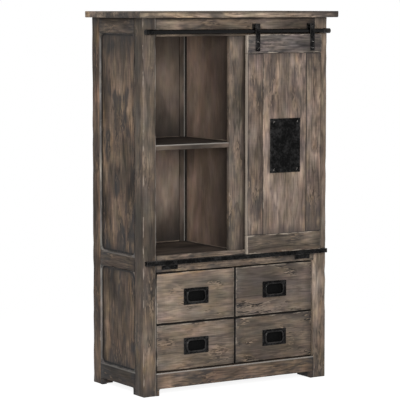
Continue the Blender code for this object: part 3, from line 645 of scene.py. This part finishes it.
def loft(name, rings, round_trip=False):
    """A closed mesh through rings of equally many points."""
    bm = bmesh.new()
    rows = [[bm.verts.new(point) for point in ring] for ring in rings]
    count = len(rows[0])
    pairs = list(zip(rows, rows[1:])) + ([(rows[-1], rows[0])] if round_trip else [])
    for below, above in pairs:
        for i in range(count):
            j = (i + 1) % count
            bm.faces.new((below[i], below[j], above[j], above[i]))
    if not round_trip:
        bm.faces.new(rows[0][::-1])
        bm.faces.new(rows[-1])
    bmesh.ops.recalc_face_normals(bm, faces=bm.faces)
    return smooth_mesh(name, bm, LOFT_CREASE)


def coat_rows(mesh, material, rows, ring_size):
    """Gives the faces between some rings of a loft a further material."""
    mesh.materials.append(material)
    for polygon in mesh.polygons[rows.start * ring_size:rows.stop * ring_size]:
        polygon.material_index = len(mesh.materials) - 1


def add_piece(name, mesh, material, body, slot):
    """A finished piece in the scene, riding on its body."""
    piece = bpy.data.objects.new(name, mesh)
    bpy.context.scene.collection.objects.link(piece)
    if material:
        mesh.materials.clear()
        mesh.materials.append(material)
    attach(piece, body)
    return piece


print("corner steps:", CORNER_STEPS)

# %% [markdown]
# ## Worn arrises
# A planed board has straight arrises, the long outer edges. On an old board they are knocked about. A bump
# in the material can't bend an outline, so the boards that show are remade from their solids: a copy is cut
# across every few centimetres, and the points beside an arris sink in by a smooth noise. Each point slides
# along the face that it lies on, so the faces stay flat. The copy then stands for the solid.

# %% Wear the boards down
WORN_BOARDS = ("top_board", "post_", "centre_stile", "front_", "side_top", "side_mid", "side_bottom",
               "door_left", "door_middle", "door_right", "door_top", "door_bottom", "drawer_front", "shelf_")
WORN_STEP = 0.040
WORN_REACH = 0.004
WORN_DEPTH = 0.0034
KNOCKED = {"post_": 0.0065, "top_board": 0.0030}  # these are knocked more or less deep than the others
EASED = {"drawer_front": 0.0016}  # and these were planed off before
WORN_SPREAD = 0.055
ON_FACE = 0.0002
MERGED = 0.00001
FLAT_BEND = math.radians(1)  # faces that bend less are joined to one
BODY_OF = {node: body for body, nodes in frame["record"]["behaviour"]["bodies"].items() for node in nodes}


def worn_copy(node, seed):
    """A copy of a node's mesh with unevenly worn arrises."""
    worn_depth = row_for(node, KNOCKED, WORN_DEPTH)
    eased = row_for(node, EASED, 0.0)
    low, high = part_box(node)
    bm = bmesh.new()
    bm.from_mesh(frame["nodes"][node].data)
    bmesh.ops.remove_doubles(bm, verts=bm.verts, dist=MERGED)
    bmesh.ops.dissolve_limit(bm, angle_limit=FLAT_BEND, verts=bm.verts, edges=bm.edges)
    for axis in range(3):
        count = round((high[axis] - low[axis]) / WORN_STEP)
        for step in range(1, count):
            bmesh.ops.bisect_plane(bm, geom=bm.verts[:] + bm.edges[:] + bm.faces[:], dist=MERGED,
                                   plane_co=low + (high - low) * step / count,
                                   plane_no=[float(i == axis) for i in range(3)])
    for vert in bm.verts:
        sunk = eased + worn_depth * max(0.0, smooth_noise(vert.co / WORN_SPREAD + Vector((seed, 0, 0))))
        for axis in range(3):
            to_low, to_high = vert.co[axis] - low[axis], high[axis] - vert.co[axis]
            if ON_FACE < min(to_low, to_high) < WORN_REACH:
                vert.co[axis] += sunk if to_low < to_high else -sunk
    return smooth_mesh(node, bm, CUT_CREASE)


worn = [node for node in sorted(SLOT_OF) if node.startswith(WORN_BOARDS)]
for number, node in enumerate(worn):
    wood = frame["nodes"][node].data.materials[0]
    board = add_piece(f"worn_{node}", worn_copy(node, SEED_STEP * number), wood, BODY_OF[node], SLOT_OF[node])
    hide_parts(node)
print("boards worn down:", len(worn))

# %% [markdown]
# ## Drawer pulls
# A pull is one casting: a plate with soft edges, a rounded rim and a cup that takes the fingertips. The rim
# matters most, because its round back catches the light in thin lines. The plate's sizes come from the
# solid, and the rim's from its profile: how far each ring lies inside the plate, its corner radius, and how
# far it stands from the wood.

# %% Cast the pulls
POCKET_SIDE, CUP_SIDE = 0.0075, 0.0065  # these rings lie this much further in from the sides
PLATE_FACE = -0.0033
PULL_PROFILE = (  # inset, how much more from the sides, corner radius, distance behind the drawer's face
    (0.0150, POCKET_SIDE, 0.0180, 0.0137), (0.0110, POCKET_SIDE, 0.0225, 0.0115),
    (0.0110, POCKET_SIDE, 0.0225, -0.0003), (0.0003, 0.0, 0.0030, -0.0003), (0.0, 0.0, 0.0035, -0.0009),
    (0.0, 0.0, 0.0035, -0.0024), (0.0008, 0.0, 0.0030, PLATE_FACE), (0.0098, CUP_SIDE, 0.0192, PLATE_FACE),
    (0.0106, CUP_SIDE, 0.0186, -0.0047), (0.0117, CUP_SIDE, 0.0177, -0.0058),
    (0.0131, CUP_SIDE, 0.0166, -0.0063), (0.0146, CUP_SIDE, 0.0154, -0.0058),
    (0.0153, CUP_SIDE, 0.0148, -0.0040), (0.0156, CUP_SIDE, 0.0144, 0.0080),
    (0.0180, CUP_SIDE, 0.0120, 0.0106), (0.0290, CUP_SIDE, 0.0050, 0.0110),
)
RIM_ROWS, CUP_ROWS = range(8, 11), range(12, 15)
DRAWERS = [f"{row}_{column}" for row in ("upper", "lower") for column in ("left", "right")]

for drawer in DRAWERS:
    low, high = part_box(f"pull_{drawer}")
    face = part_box(f"drawer_front_{drawer}")[0].y
    middle = (low + high) / 2
    rings = [rounded_ring(high.x - low.x - 2 * (inset + more), high.z - low.z - 2 * inset, radius,
                          lambda across, up: (middle.x + across, face + behind, middle.z + up))
             for inset, more, radius, behind in PULL_PROFILE]
    casting = loft("pull", rings)
    pull = add_piece(f"pull_casting_{drawer}", casting, IRON, f"drawer_{drawer}", "black_iron")
    # the rim is rubbed iron; the cup is rough iron painted darker as the shade inside it
    for skin, rows in ((RUBBED_IRON, RIM_ROWS), (CUP_SHADE_IRON, CUP_ROWS)):
        coat_rows(casting, skin, rows, len(rings[0]))
    casting.polygons[-1].material_index = len(casting.materials) - 1  # the cup's floor is the last cap
    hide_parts(f"pull_{drawer}")
print("pulls:", len(DRAWERS), "of", len(PULL_PROFILE), "rings")

# %% [markdown]
# ## Mouldings round the sunk panels
# Each side is a frame with two sunk panels. A moulding with rounded corners lies in the opening: flush with
# the frame at first, then sloping down to the panel. The slope at the back and at the bottom faces the
# light and draws a pale line, helped by greyer wood and a faint highlight along the back, both painted. Its
# foot is painted nearly black as shade. It is a loft that meets its own start, through rings that go from
# the square opening to the rounded line on the panel, and the faces take one of two woods by their ring.

# %% Run the mouldings
SIDES = {"left": -1, "right": 1}
MOULDING = (  # inset from the opening, height above the panel, corner radius
    (0.0003, 0.0122, 0.0012), (0.0010, 0.0122, 0.0290), (0.0018, 0.0112, 0.0280), (0.0034, 0.0036, 0.0270),
    (0.0042, 0.0012, 0.0265), (0.0115, 0.0003, 0.0220), (0.0003, 0.0003, 0.0012),
)
FOOT_ROWS = range(3, len(MOULDING))
MOULDING_LOOKS = {
    # the slope's wood is greyer, partly a painted sheen where it faces the light
    "slope": {"Tone": 0.90, "Brushed": 0.8, "Stain": "#625d59", "Bare": "#8b8580", "End Soiling": 0.0,
              "Side": -FORWARD, **ARRIS_HIGHLIGHT, "Side Amount": 0.2},
    # the foot is painted nearly black as the shade where the moulding meets the panel
    "foot": {"Tone": 0.07, "Brushed": 0.6, "Honey": 0.0, "Washed": 0.0},
}

for side, sign in SIDES.items():
    for level in ("upper", "lower"):
        low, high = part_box(f"side_panel_{level}_{side}")
        plane = low.x if sign < 0 else high.x
        middle = (low + high) / 2
        rings = [rounded_ring(high.y - low.y - 2 * inset, high.z - low.z - 2 * inset, radius,
                              lambda across, up: (plane + sign * rise, middle.y + across, middle.z + up))
                 for inset, rise, radius in MOULDING]
        mesh = loft("moulding", rings, round_trip=True)
        depth = MOULDING[0][1]
        box = (Vector((plane - depth, low.y, low.z)), Vector((plane + depth, high.y, high.z)))
        name = f"panel_moulding_{level}_{side}"
        # the slope's wood, and the foot's wood painted nearly black as shade
        clean, shaded_foot = (cut_board(f"{name}_{part}", box, "z", "weathered_wood", look)
                        for part, look in MOULDING_LOOKS.items())
        add_piece(name, mesh, clean, "case", "weathered_wood")
        coat_rows(mesh, shaded_foot, FOOT_ROWS, len(rings[0]))
print("mouldings:", sum(name.endswith("_slope") for name in cut_boards), "of", len(MOULDING), "rings")

# %% [markdown]
# ## Screws and bolts
# Screws repeat, so Geometry Nodes make them: a head is built once and instanced on points. The points are
# the corners of the pulls and the plaque, and places on the straps and the guide's plates. Each head turns
# by a random angle with a fixed seed, because no one lines up screw slots. The instances are made real at
# the end, and one mesh is kept for each kind and body.

# %% A Geometry Nodes tree for slotted heads
HEAD_SEGMENTS, HEAD_RINGS = 20, 12
BLADE_REACH = 3.0  # the blade that cuts the slot is this many head radii long


def build_screw_tree():
    """A tree that sets a slotted head on each point."""
    tree = bpy.data.node_groups.new("slotted heads", "GeometryNodeTree")
    add_sockets(tree, "INPUT", {"Points": "Geometry", "Head Radius": "Float", "Head Height": "Float",
                                "Slot Width": "Float", "Seed": "Int", "Material": "Material"})
    add_sockets(tree, "OUTPUT", {"Geometry": "Geometry"})
    given = add_node(tree, "NodeGroupInput").outputs
    radius, height = given["Head Radius"], given["Head Height"]
    ball = add_node(tree, "GeometryNodeMeshUVSphere", {
        "Segments": HEAD_SEGMENTS, "Rings": HEAD_RINGS, "Radius": 1.0})
    size = add_node(tree, "ShaderNodeCombineXYZ", {0: radius, 1: radius, 2: height})
    dome = add_node(tree, "GeometryNodeTransform", {"Geometry": ball, "Scale": size})
    across = add_node(tree, "ShaderNodeMath", {0: radius, 1: BLADE_REACH}, operation="MULTIPLY")
    blade = add_node(tree, "ShaderNodeCombineXYZ", {0: across, 1: given["Slot Width"], 2: height})
    lift = add_node(tree, "ShaderNodeCombineXYZ", {2: height})
    slot = add_node(tree, "GeometryNodeMeshCube", {"Size": blade})
    raised = add_node(tree, "GeometryNodeTransform", {"Geometry": slot, "Translation": lift})
    head = add_node(tree, "GeometryNodeMeshBoolean", {0: dome, 1: raised}, operation="DIFFERENCE")
    angle = add_node(tree, "FunctionNodeRandomValue", {
        0: (0, 0, 0), 1: (0, 0, math.pi), "Seed": given["Seed"]}, data_type="FLOAT_VECTOR")
    heads = add_node(tree, "GeometryNodeInstanceOnPoints", {
        "Points": given["Points"], "Instance": head, "Rotation": (math.pi / 2, 0, 0)})
    turned = add_node(tree, "GeometryNodeRotateInstances", {"Instances": heads, "Rotation": angle})
    real = add_node(tree, "GeometryNodeRealizeInstances", {"Geometry": turned})
    coated = add_node(tree, "GeometryNodeSetMaterial", {"Geometry": real, "Material": given["Material"]})
    add_node(tree, "NodeGroupOutput", {"Geometry": coated})
    return tree


SCREW_TREE = build_screw_tree()
print("screw tree:", len(SCREW_TREE.nodes), "nodes")

# %% [markdown]
# The tree works as a modifier on a mesh that has only points. What it makes is read back as a plain mesh,
# so the finished piece needs no modifier, and the helper with the points is removed.

# %% A function that makes heads for a body
HEADS = {  # kind: radius, height and slot width
    "pull": (0.0042, 0.0018, 0.0010),
    "plaque": (0.0062, 0.0030, 0.0012),
    "strap": (0.0072, 0.0040, 0.0012),
    "axle": (0.0058, 0.0024, 0.0012),
    "guide": (0.0045, 0.0020, 0.0011),
}


def fasten(name, points, body, material, kind, seed):
    """Heads at points on a front face, as one plain mesh that rides on a body."""
    mesh = bpy.data.meshes.new(name)
    mesh.from_pydata(points, [], [])
    holder = bpy.data.objects.new(name, mesh)
    bpy.context.scene.collection.objects.link(holder)
    modifier = holder.modifiers.new("heads", "NODES")
    modifier.node_group = SCREW_TREE
    sockets = {item.name: item.identifier for item in SCREW_TREE.interface.items_tree
               if item.in_out == "INPUT"}
    for socket, value in zip(("Head Radius", "Head Height", "Slot Width", "Seed", "Material"),
                             (*HEADS[kind], seed, material)):
        modifier[sockets[socket]] = value
    graph = bpy.context.evaluated_depsgraph_get()
    heads = bpy.data.meshes.new_from_object(holder.evaluated_get(graph))
    bpy.data.objects.remove(holder)
    heads.shade_smooth()
    heads.set_sharp_from_angle(angle=math.radians(CUT_CREASE))
    add_piece(name, heads, None, body, "black_iron")


print("kinds of head:", ", ".join(HEADS))

# %% [markdown]
# Black screws hold the pulls and the guide's plates. Those of the plaque and the straps are rubbed bright,
# and the axles end in low heads. Most places follow from the box of a solid and an inset.

# %% Drive the screws
PULL_SCREW_INSET = (0.0085, 0.0085)
PLAQUE_SCREW_INSET = (0.020, 0.016)
STRAP_BOLTS = (1.6545, 1.6235)
STRAP_FACE = 0.0043  # how far it stands in front of the door
GUIDE_PLATE_X, GUIDE_PLATE_HALF, GUIDE_PLATE_FACE = 0.378, 0.043, 0.0053
GUIDE_SCREW_INSET, GUIDE_SCREW_LEVEL = 0.018, 0.6085
PLAQUE_SEED, STRAP_SEED, GUIDE_SEED, AXLE_SEED = range(11, 15)


def corner_points(low, high, inset, y):
    """Four points inside the corners of a box, on a plane in front."""
    return [(x, y, z) for x in (low.x + inset[0], high.x - inset[0])
            for z in (low.z + inset[1], high.z - inset[1])]


for seed, drawer in enumerate(DRAWERS):
    low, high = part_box(f"pull_{drawer}")
    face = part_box(f"drawer_front_{drawer}")[0].y + PLATE_FACE
    fasten(f"pull_screws_{drawer}", corner_points(low, high, PULL_SCREW_INSET, face), f"drawer_{drawer}",
           IRON, "pull", seed)
low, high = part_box("plaque")
fasten("plaque_screws", corner_points(low, high, PLAQUE_SCREW_INSET, low.y), "door", SCREW_STEEL, "plaque",
       PLAQUE_SEED)
bolts, axles = [], []
for side in SIDES:
    strap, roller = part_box(f"hanger_{side}"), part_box(f"roller_{side}")
    strap_middle, roller_middle = (sum(corners, Vector()) / 2 for corners in (strap, roller))
    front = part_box("door_top_rail")[0].y - STRAP_FACE
    bolts += [(strap_middle.x, front, level) for level in STRAP_BOLTS]
    axles.append((strap_middle.x, strap[0].y, roller_middle.z))
fasten("strap_bolts", bolts, "door", SCREW_STEEL, "strap", STRAP_SEED)
fasten("axle_heads", axles, "door", RUBBED_IRON, "axle", AXLE_SEED)
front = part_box("front_mid_rail")[0].y - GUIDE_PLATE_FACE
plates = [(sign * GUIDE_PLATE_X + offset, front, GUIDE_SCREW_LEVEL) for sign in SIDES.values()
          for offset in (GUIDE_SCREW_INSET - GUIDE_PLATE_HALF, GUIDE_PLATE_HALF - GUIDE_SCREW_INSET)]
fasten("guide_screws", plates, "case", IRON, "guide", GUIDE_SEED)
print("screws on", len(DRAWERS), "pulls, the plaque, the straps, the axles and the guide")

# %% [markdown]
# ## The rod and its caps
# The rod is a bar of round iron with a turned cap pushed over each end. A turned piece is a profile spun
# round an axis: pairs of distance along the rod and radius, repeated round the circle as rings, and lofted.

# %% Turn the rod
ROUND_STEPS = 48
CAP_LENGTH = 0.040
CAP_EXTRA = 0.0016
CAP_EDGE = 0.0012


def turned_along_x(name, profile, y, z):
    """A profile of places and radii, spun round a line along x."""
    angles = [2 * math.pi * i / ROUND_STEPS for i in range(ROUND_STEPS)]
    return loft(name, [[(x, y + radius * math.cos(angle), z + radius * math.sin(angle)) for angle in angles]
                       for x, radius in profile])


low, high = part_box("rod")
radius = (high.z - low.z) / 2
half = high.x
cap = [(half, radius - CAP_EXTRA), (half, radius), (half - CAP_EDGE, radius + CAP_EXTRA),
       (half - CAP_LENGTH + CAP_EDGE, radius + CAP_EXTRA), (half - CAP_LENGTH, radius)]
profile = [(-x, r) for x, r in cap] + cap[::-1]
bar = turned_along_x("rod", profile, (low.y + high.y) / 2, (low.z + high.z) / 2)
rod = add_piece("turned_rod", bar, BAR_IRON, "case", "black_iron")
bar.materials.append(IRON)
bar.materials.append(RUBBED_IRON)
for polygon in bar.polygons:
    if abs(polygon.center.x) > half - CAP_LENGTH:
        polygon.material_index = 1 if polygon.center.x < 0 else 2  # the right cap is rubbed iron, glossier and painted paler as its highlight
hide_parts("rod")
print("rod:", round(2 * half, 3), "m long and", round(2 * radius, 3), "m thick")

# %% [markdown]
# ## Strips and beads in the bays, and blocks behind the feet
# A flat strip stands in each back corner of a bay, about 1 cm from the partition or the post. A nearly
# black stick fills the groove beside it as painted shade, and a painted highlight draws a thin pale line
# along the strip's arris. Other thin beads hide the joints between the shelves or floors and the walls.
# Behind each front foot a block is glued to the apron and the post, where it can only be seen from low
# down; it is painted nearly black as the shade under the apron. All are straight sticks with softened
# edges, so one function lofts them through four rounded rectangles along their longest side.

# %% A function that sets a stick
STICK_SOFT = 0.0015
STICK_SEAT = 0.0004  # keeps two faces from lying in one plane


def add_stick(name, low, high, slot, look):
    """A straight stick between two corners, with its edges softened and its grain along it."""
    low, high = Vector(low), Vector(high)
    size, middle = high - low, (low + high) / 2
    along = max(range(3), key=lambda axis: size[axis])
    first, second = (axis for axis in range(3) if axis != along)

    def ring(less, place):
        def to_place(across, up):
            point = middle.copy()
            point[along], point[first], point[second] = place, middle[first] + across, middle[second] + up
            return point
        return rounded_ring(size[first] - less, size[second] - less, STICK_SOFT, to_place)

    rings = [ring(2 * STICK_SOFT - MERGED, low[along]), ring(0, low[along] + STICK_SOFT),
             ring(0, high[along] - STICK_SOFT), ring(2 * STICK_SOFT - MERGED, high[along])]
    wood = cut_board(name, (low, high), "xyz"[along], slot, look)
    add_piece(name, loft("stick", rings), wood, "case", slot)


def span(sign, *places):
    """The lowest and highest of two places, on the left if the sign is negative."""
    return sorted(sign * place for place in places)


print("sticks are softened by", STICK_SOFT, "m")

# %% [markdown]
# The sticks take their places from the boards around them, less a small seat. The places are those of the
# right bay, and the left one mirrors them.

# %% Set the strips, the beads and the blocks
STRIP_WIDTH, STRIP_DEPTH, STRIP_GROOVE = 0.027, 0.012, 0.009
GROOVE_PROUD = 0.007
BEAD = 0.005
BLOCK_WIDTH, BLOCK_DEPTH = 0.0158, 0.090
INNER_WITHOUT_CORNER_SHADE = {**INNER_WITH_CORNER_SHADE, "Grime And Shade": 0.0}
# a painted highlight on the strip's arris, and darker towards the floor of its bay
STRIP_LOOK = {**INNER_WITHOUT_CORNER_SHADE, "Tone": 0.60, "Low Darkening": 0.75, **ARRIS_HIGHLIGHT, "Side Amount": 0.65}
# nearly black, as painted shade in the groove beside a strip
GROOVE_SHADE_LOOK = {**INNER_WITHOUT_CORNER_SHADE, "Tone": 0.07}
BEAD_LOOK = {**INNER_WITHOUT_CORNER_SHADE, "Tone": 0.9}
# nearly black, as painted shade under the apron
BLOCK_LOOK = {"Tone": 0.12}

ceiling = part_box("back_panel_left")[1].z
shelf_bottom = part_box("shelf_left")[0].z
back_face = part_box("back_panel_left")[0].y - STICK_SEAT
strip_front = back_face - STRIP_DEPTH
groove_front = strip_front - GROOVE_PROUD
stile_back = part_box("centre_stile")[1].y
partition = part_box("partition")[1].x
post_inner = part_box("post_back_right")[0].x
inner, outer = partition + STRIP_GROOVE, post_inner - STRIP_GROOVE - STRIP_WIDTH
apron_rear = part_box("front_apron")[1].y + STICK_SEAT
block_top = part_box("bottom_board")[0].z - STICK_SEAT
LEVELS = (("lower", deck_top, shelf_bottom), ("upper", shelf_top, ceiling))
CORNERS = (("inner", inner, partition, LEFT), ("outer", outer, outer + STRIP_WIDTH, RIGHT))
boards_before = len(cut_boards)
for side, sign in SIDES.items():
    for level, floor_z, ceiling_z in LEVELS:
        z_low, z_high = floor_z + STICK_SEAT, ceiling_z - STICK_SEAT
        for place, x, groove, facing in CORNERS:
            # a nearly black stick in the groove, as painted shade
            x_low, x_high = span(sign, groove + STICK_SEAT, groove + STRIP_GROOVE - STICK_SEAT)
            add_stick(f"groove_bead_{level}_{place}_{side}", (x_low, groove_front, z_low),
                      (x_high, back_face, z_high), "inner_wood", GROOVE_SHADE_LOOK)
            x_low, x_high = span(sign, x, x + STRIP_WIDTH)
            look = {**STRIP_LOOK, "Side": HALFWAY * (sign * facing + FORWARD),
                    "Ground": (floor_z - ceiling_z) / 2}
            add_stick(f"corner_strip_{level}_{place}_{side}", (x_low, strip_front, z_low),
                      (x_high, back_face, z_high), "inner_wood", look)
        x_low, x_high = span(sign, inner + STRIP_WIDTH + STICK_SEAT, outer - STICK_SEAT)
        add_stick(f"back_bead_{level}_{side}", (x_low, back_face - BEAD, z_low),
                  (x_high, back_face, z_low + BEAD), "inner_wood", BEAD_LOOK)
        x_low, x_high = span(sign, partition + STICK_SEAT, partition + STICK_SEAT + BEAD)
        add_stick(f"partition_bead_{level}_{side}", (x_low, stile_back + STICK_SEAT, z_low),
                  (x_high, groove_front - STICK_SEAT, z_low + BEAD), "inner_wood", BEAD_LOOK)
    x_low, x_high = span(sign, post_inner - STICK_SEAT, post_inner - STICK_SEAT - BLOCK_WIDTH)
    add_stick(f"foot_block_{side}", (x_low, apron_rear, 0.0), (x_high, apron_rear + BLOCK_DEPTH, block_top),
              "weathered_wood", BLOCK_LOOK)
print("strips, beads and blocks:", len(cut_boards) - boards_before)

# %% [markdown]
# ## The studio
# The bookcase stands on a pale floor in soft light. The floor has to look white to the camera without
# lighting the bookcase more, so the light path decides: camera rays, and rays mirrored in the iron, see it
# a little brighter, and far from the bookcase plain white. All other rays see ordinary pale paint, and the
# shadow stays. The world is white to the same rays, and a weak fill light to all others.

# %% Floor and world
FLOOR_RADIUS, FLOOR_STEPS = 40.0, 64
FADE_START, FADE_END = 1.0, 2.6
FLOOR_PAINT = "#a4a4a4"
FLOOR_LIFT = 0.88
WORLD_COLOUR, WORLD_LIGHT = "#ffffff", 0.32


def seen_by_camera(tree):
    """Whether a ray comes from the camera, straight or mirrored."""
    ray = add_node(tree, "ShaderNodeLightPath").outputs
    mirrored = add_node(tree, "ShaderNodeMath", {0: ray["Is Glossy Ray"], 1: ray["Is Transmission Ray"]},
                        operation="MAXIMUM")
    return add_node(tree, "ShaderNodeMath", {0: ray["Is Camera Ray"], 1: mirrored}, operation="MAXIMUM")


floor_mesh = bpy.data.meshes.new("floor")
bm = bmesh.new()
bmesh.ops.create_circle(bm, cap_ends=True, segments=FLOOR_STEPS, radius=FLOOR_RADIUS)
bm.to_mesh(floor_mesh)
bm.free()
floor = bpy.data.objects.new("floor", floor_mesh)
bpy.context.scene.collection.objects.link(floor)
paint = bpy.data.materials.new("white_floor_paint")
paint.use_nodes = True
tree = paint.node_tree
tree.nodes.clear()
place = add_node(tree, "ShaderNodeTexCoord").outputs["Object"]
distance = add_node(tree, "ShaderNodeVectorMath", {0: place}, operation="LENGTH").outputs["Value"]
far = add_node(tree, "ShaderNodeMapRange", {"Value": distance, "From Min": FADE_START, "From Max": FADE_END},
               interpolation_type="SMOOTHSTEP")
seen = seen_by_camera(tree)
lifted = add_node(tree, "ShaderNodeMath", {0: seen, 1: FLOOR_LIFT}, operation="MULTIPLY")
matt = add_node(tree, "ShaderNodeBsdfDiffuse", {"Color": linear(FLOOR_PAINT)})
lift = add_node(tree, "ShaderNodeEmission", {"Strength": lifted})
near_shader = add_node(tree, "ShaderNodeAddShader", {0: matt, 1: lift})
white = add_node(tree, "ShaderNodeEmission", {"Strength": 1.0})
whiteness = add_node(tree, "ShaderNodeMath", {0: far, 1: seen}, operation="MULTIPLY")
mixed = add_node(tree, "ShaderNodeMixShader", {0: whiteness, 1: near_shader, 2: white})
add_node(tree, "ShaderNodeOutputMaterial", {"Surface": mixed})
floor_mesh.materials.append(paint)

world = bpy.data.worlds.new("studio")
world.use_nodes = True
bpy.context.scene.world = world
tree = world.node_tree
strength = add_node(tree, "ShaderNodeMapRange", {
    "Value": seen_by_camera(tree), "To Min": WORLD_LIGHT, "To Max": 1.0})
fill_sockets(tree.nodes["Background"], {"Strength": strength, "Color": linear(WORLD_COLOUR)})
print("floor radius:", FLOOR_RADIUS, "m, world light:", WORLD_LIGHT)

# %% [markdown]
# ## Lamp and camera
# One large softbox stands on the line from the camera to the bookcase, a little above it, so the shadows
# fall behind and the light stays soft, as in the photograph. The white world fills in the rest. The camera
# was fitted to the corners of the case: a long lens, far away, a little above the top and about 32 degrees
# to the left of straight ahead.

# %% Hang the softbox and set up the camera
LAMP_PLACE, LAMP_SIZE, LAMP_POWER = (-2.9, -4.6, 2.0), 2.4, 285.0  # metres, metres and watts
AIM = Vector((0.0, 0.0, 0.9))
CAMERA_PLACE = (-5.217, -8.191, 1.834)
CAMERA_TURN = (math.radians(84.42), 0.0, math.radians(-32.13))
CAMERA_LENS, CAMERA_SENSOR = 180.6, 36.0  # millimetres

softbox = bpy.data.lights.new("front_softbox", "AREA")
softbox.shape = "SQUARE"
softbox.size = LAMP_SIZE
softbox.energy = LAMP_POWER
lamp = bpy.data.objects.new("front_softbox", softbox)
lamp.location = LAMP_PLACE
lamp.rotation_euler = (AIM - Vector(LAMP_PLACE)).to_track_quat("-Z", "Y").to_euler()
bpy.context.scene.collection.objects.link(lamp)
camera_data = bpy.data.cameras.new("camera")
camera_data.lens = CAMERA_LENS
camera_data.sensor_width = CAMERA_SENSOR
camera = bpy.data.objects.new("camera", camera_data)
camera.location = CAMERA_PLACE
camera.rotation_euler = CAMERA_TURN
bpy.context.scene.collection.objects.link(camera)
bpy.context.scene.camera = camera
bpy.context.scene.view_settings.view_transform = "Standard"
print("lamp:", lamp.name, "camera lens:", CAMERA_LENS, "mm")

# %% [markdown]
# ## Finish

# %% Finish
print("done")
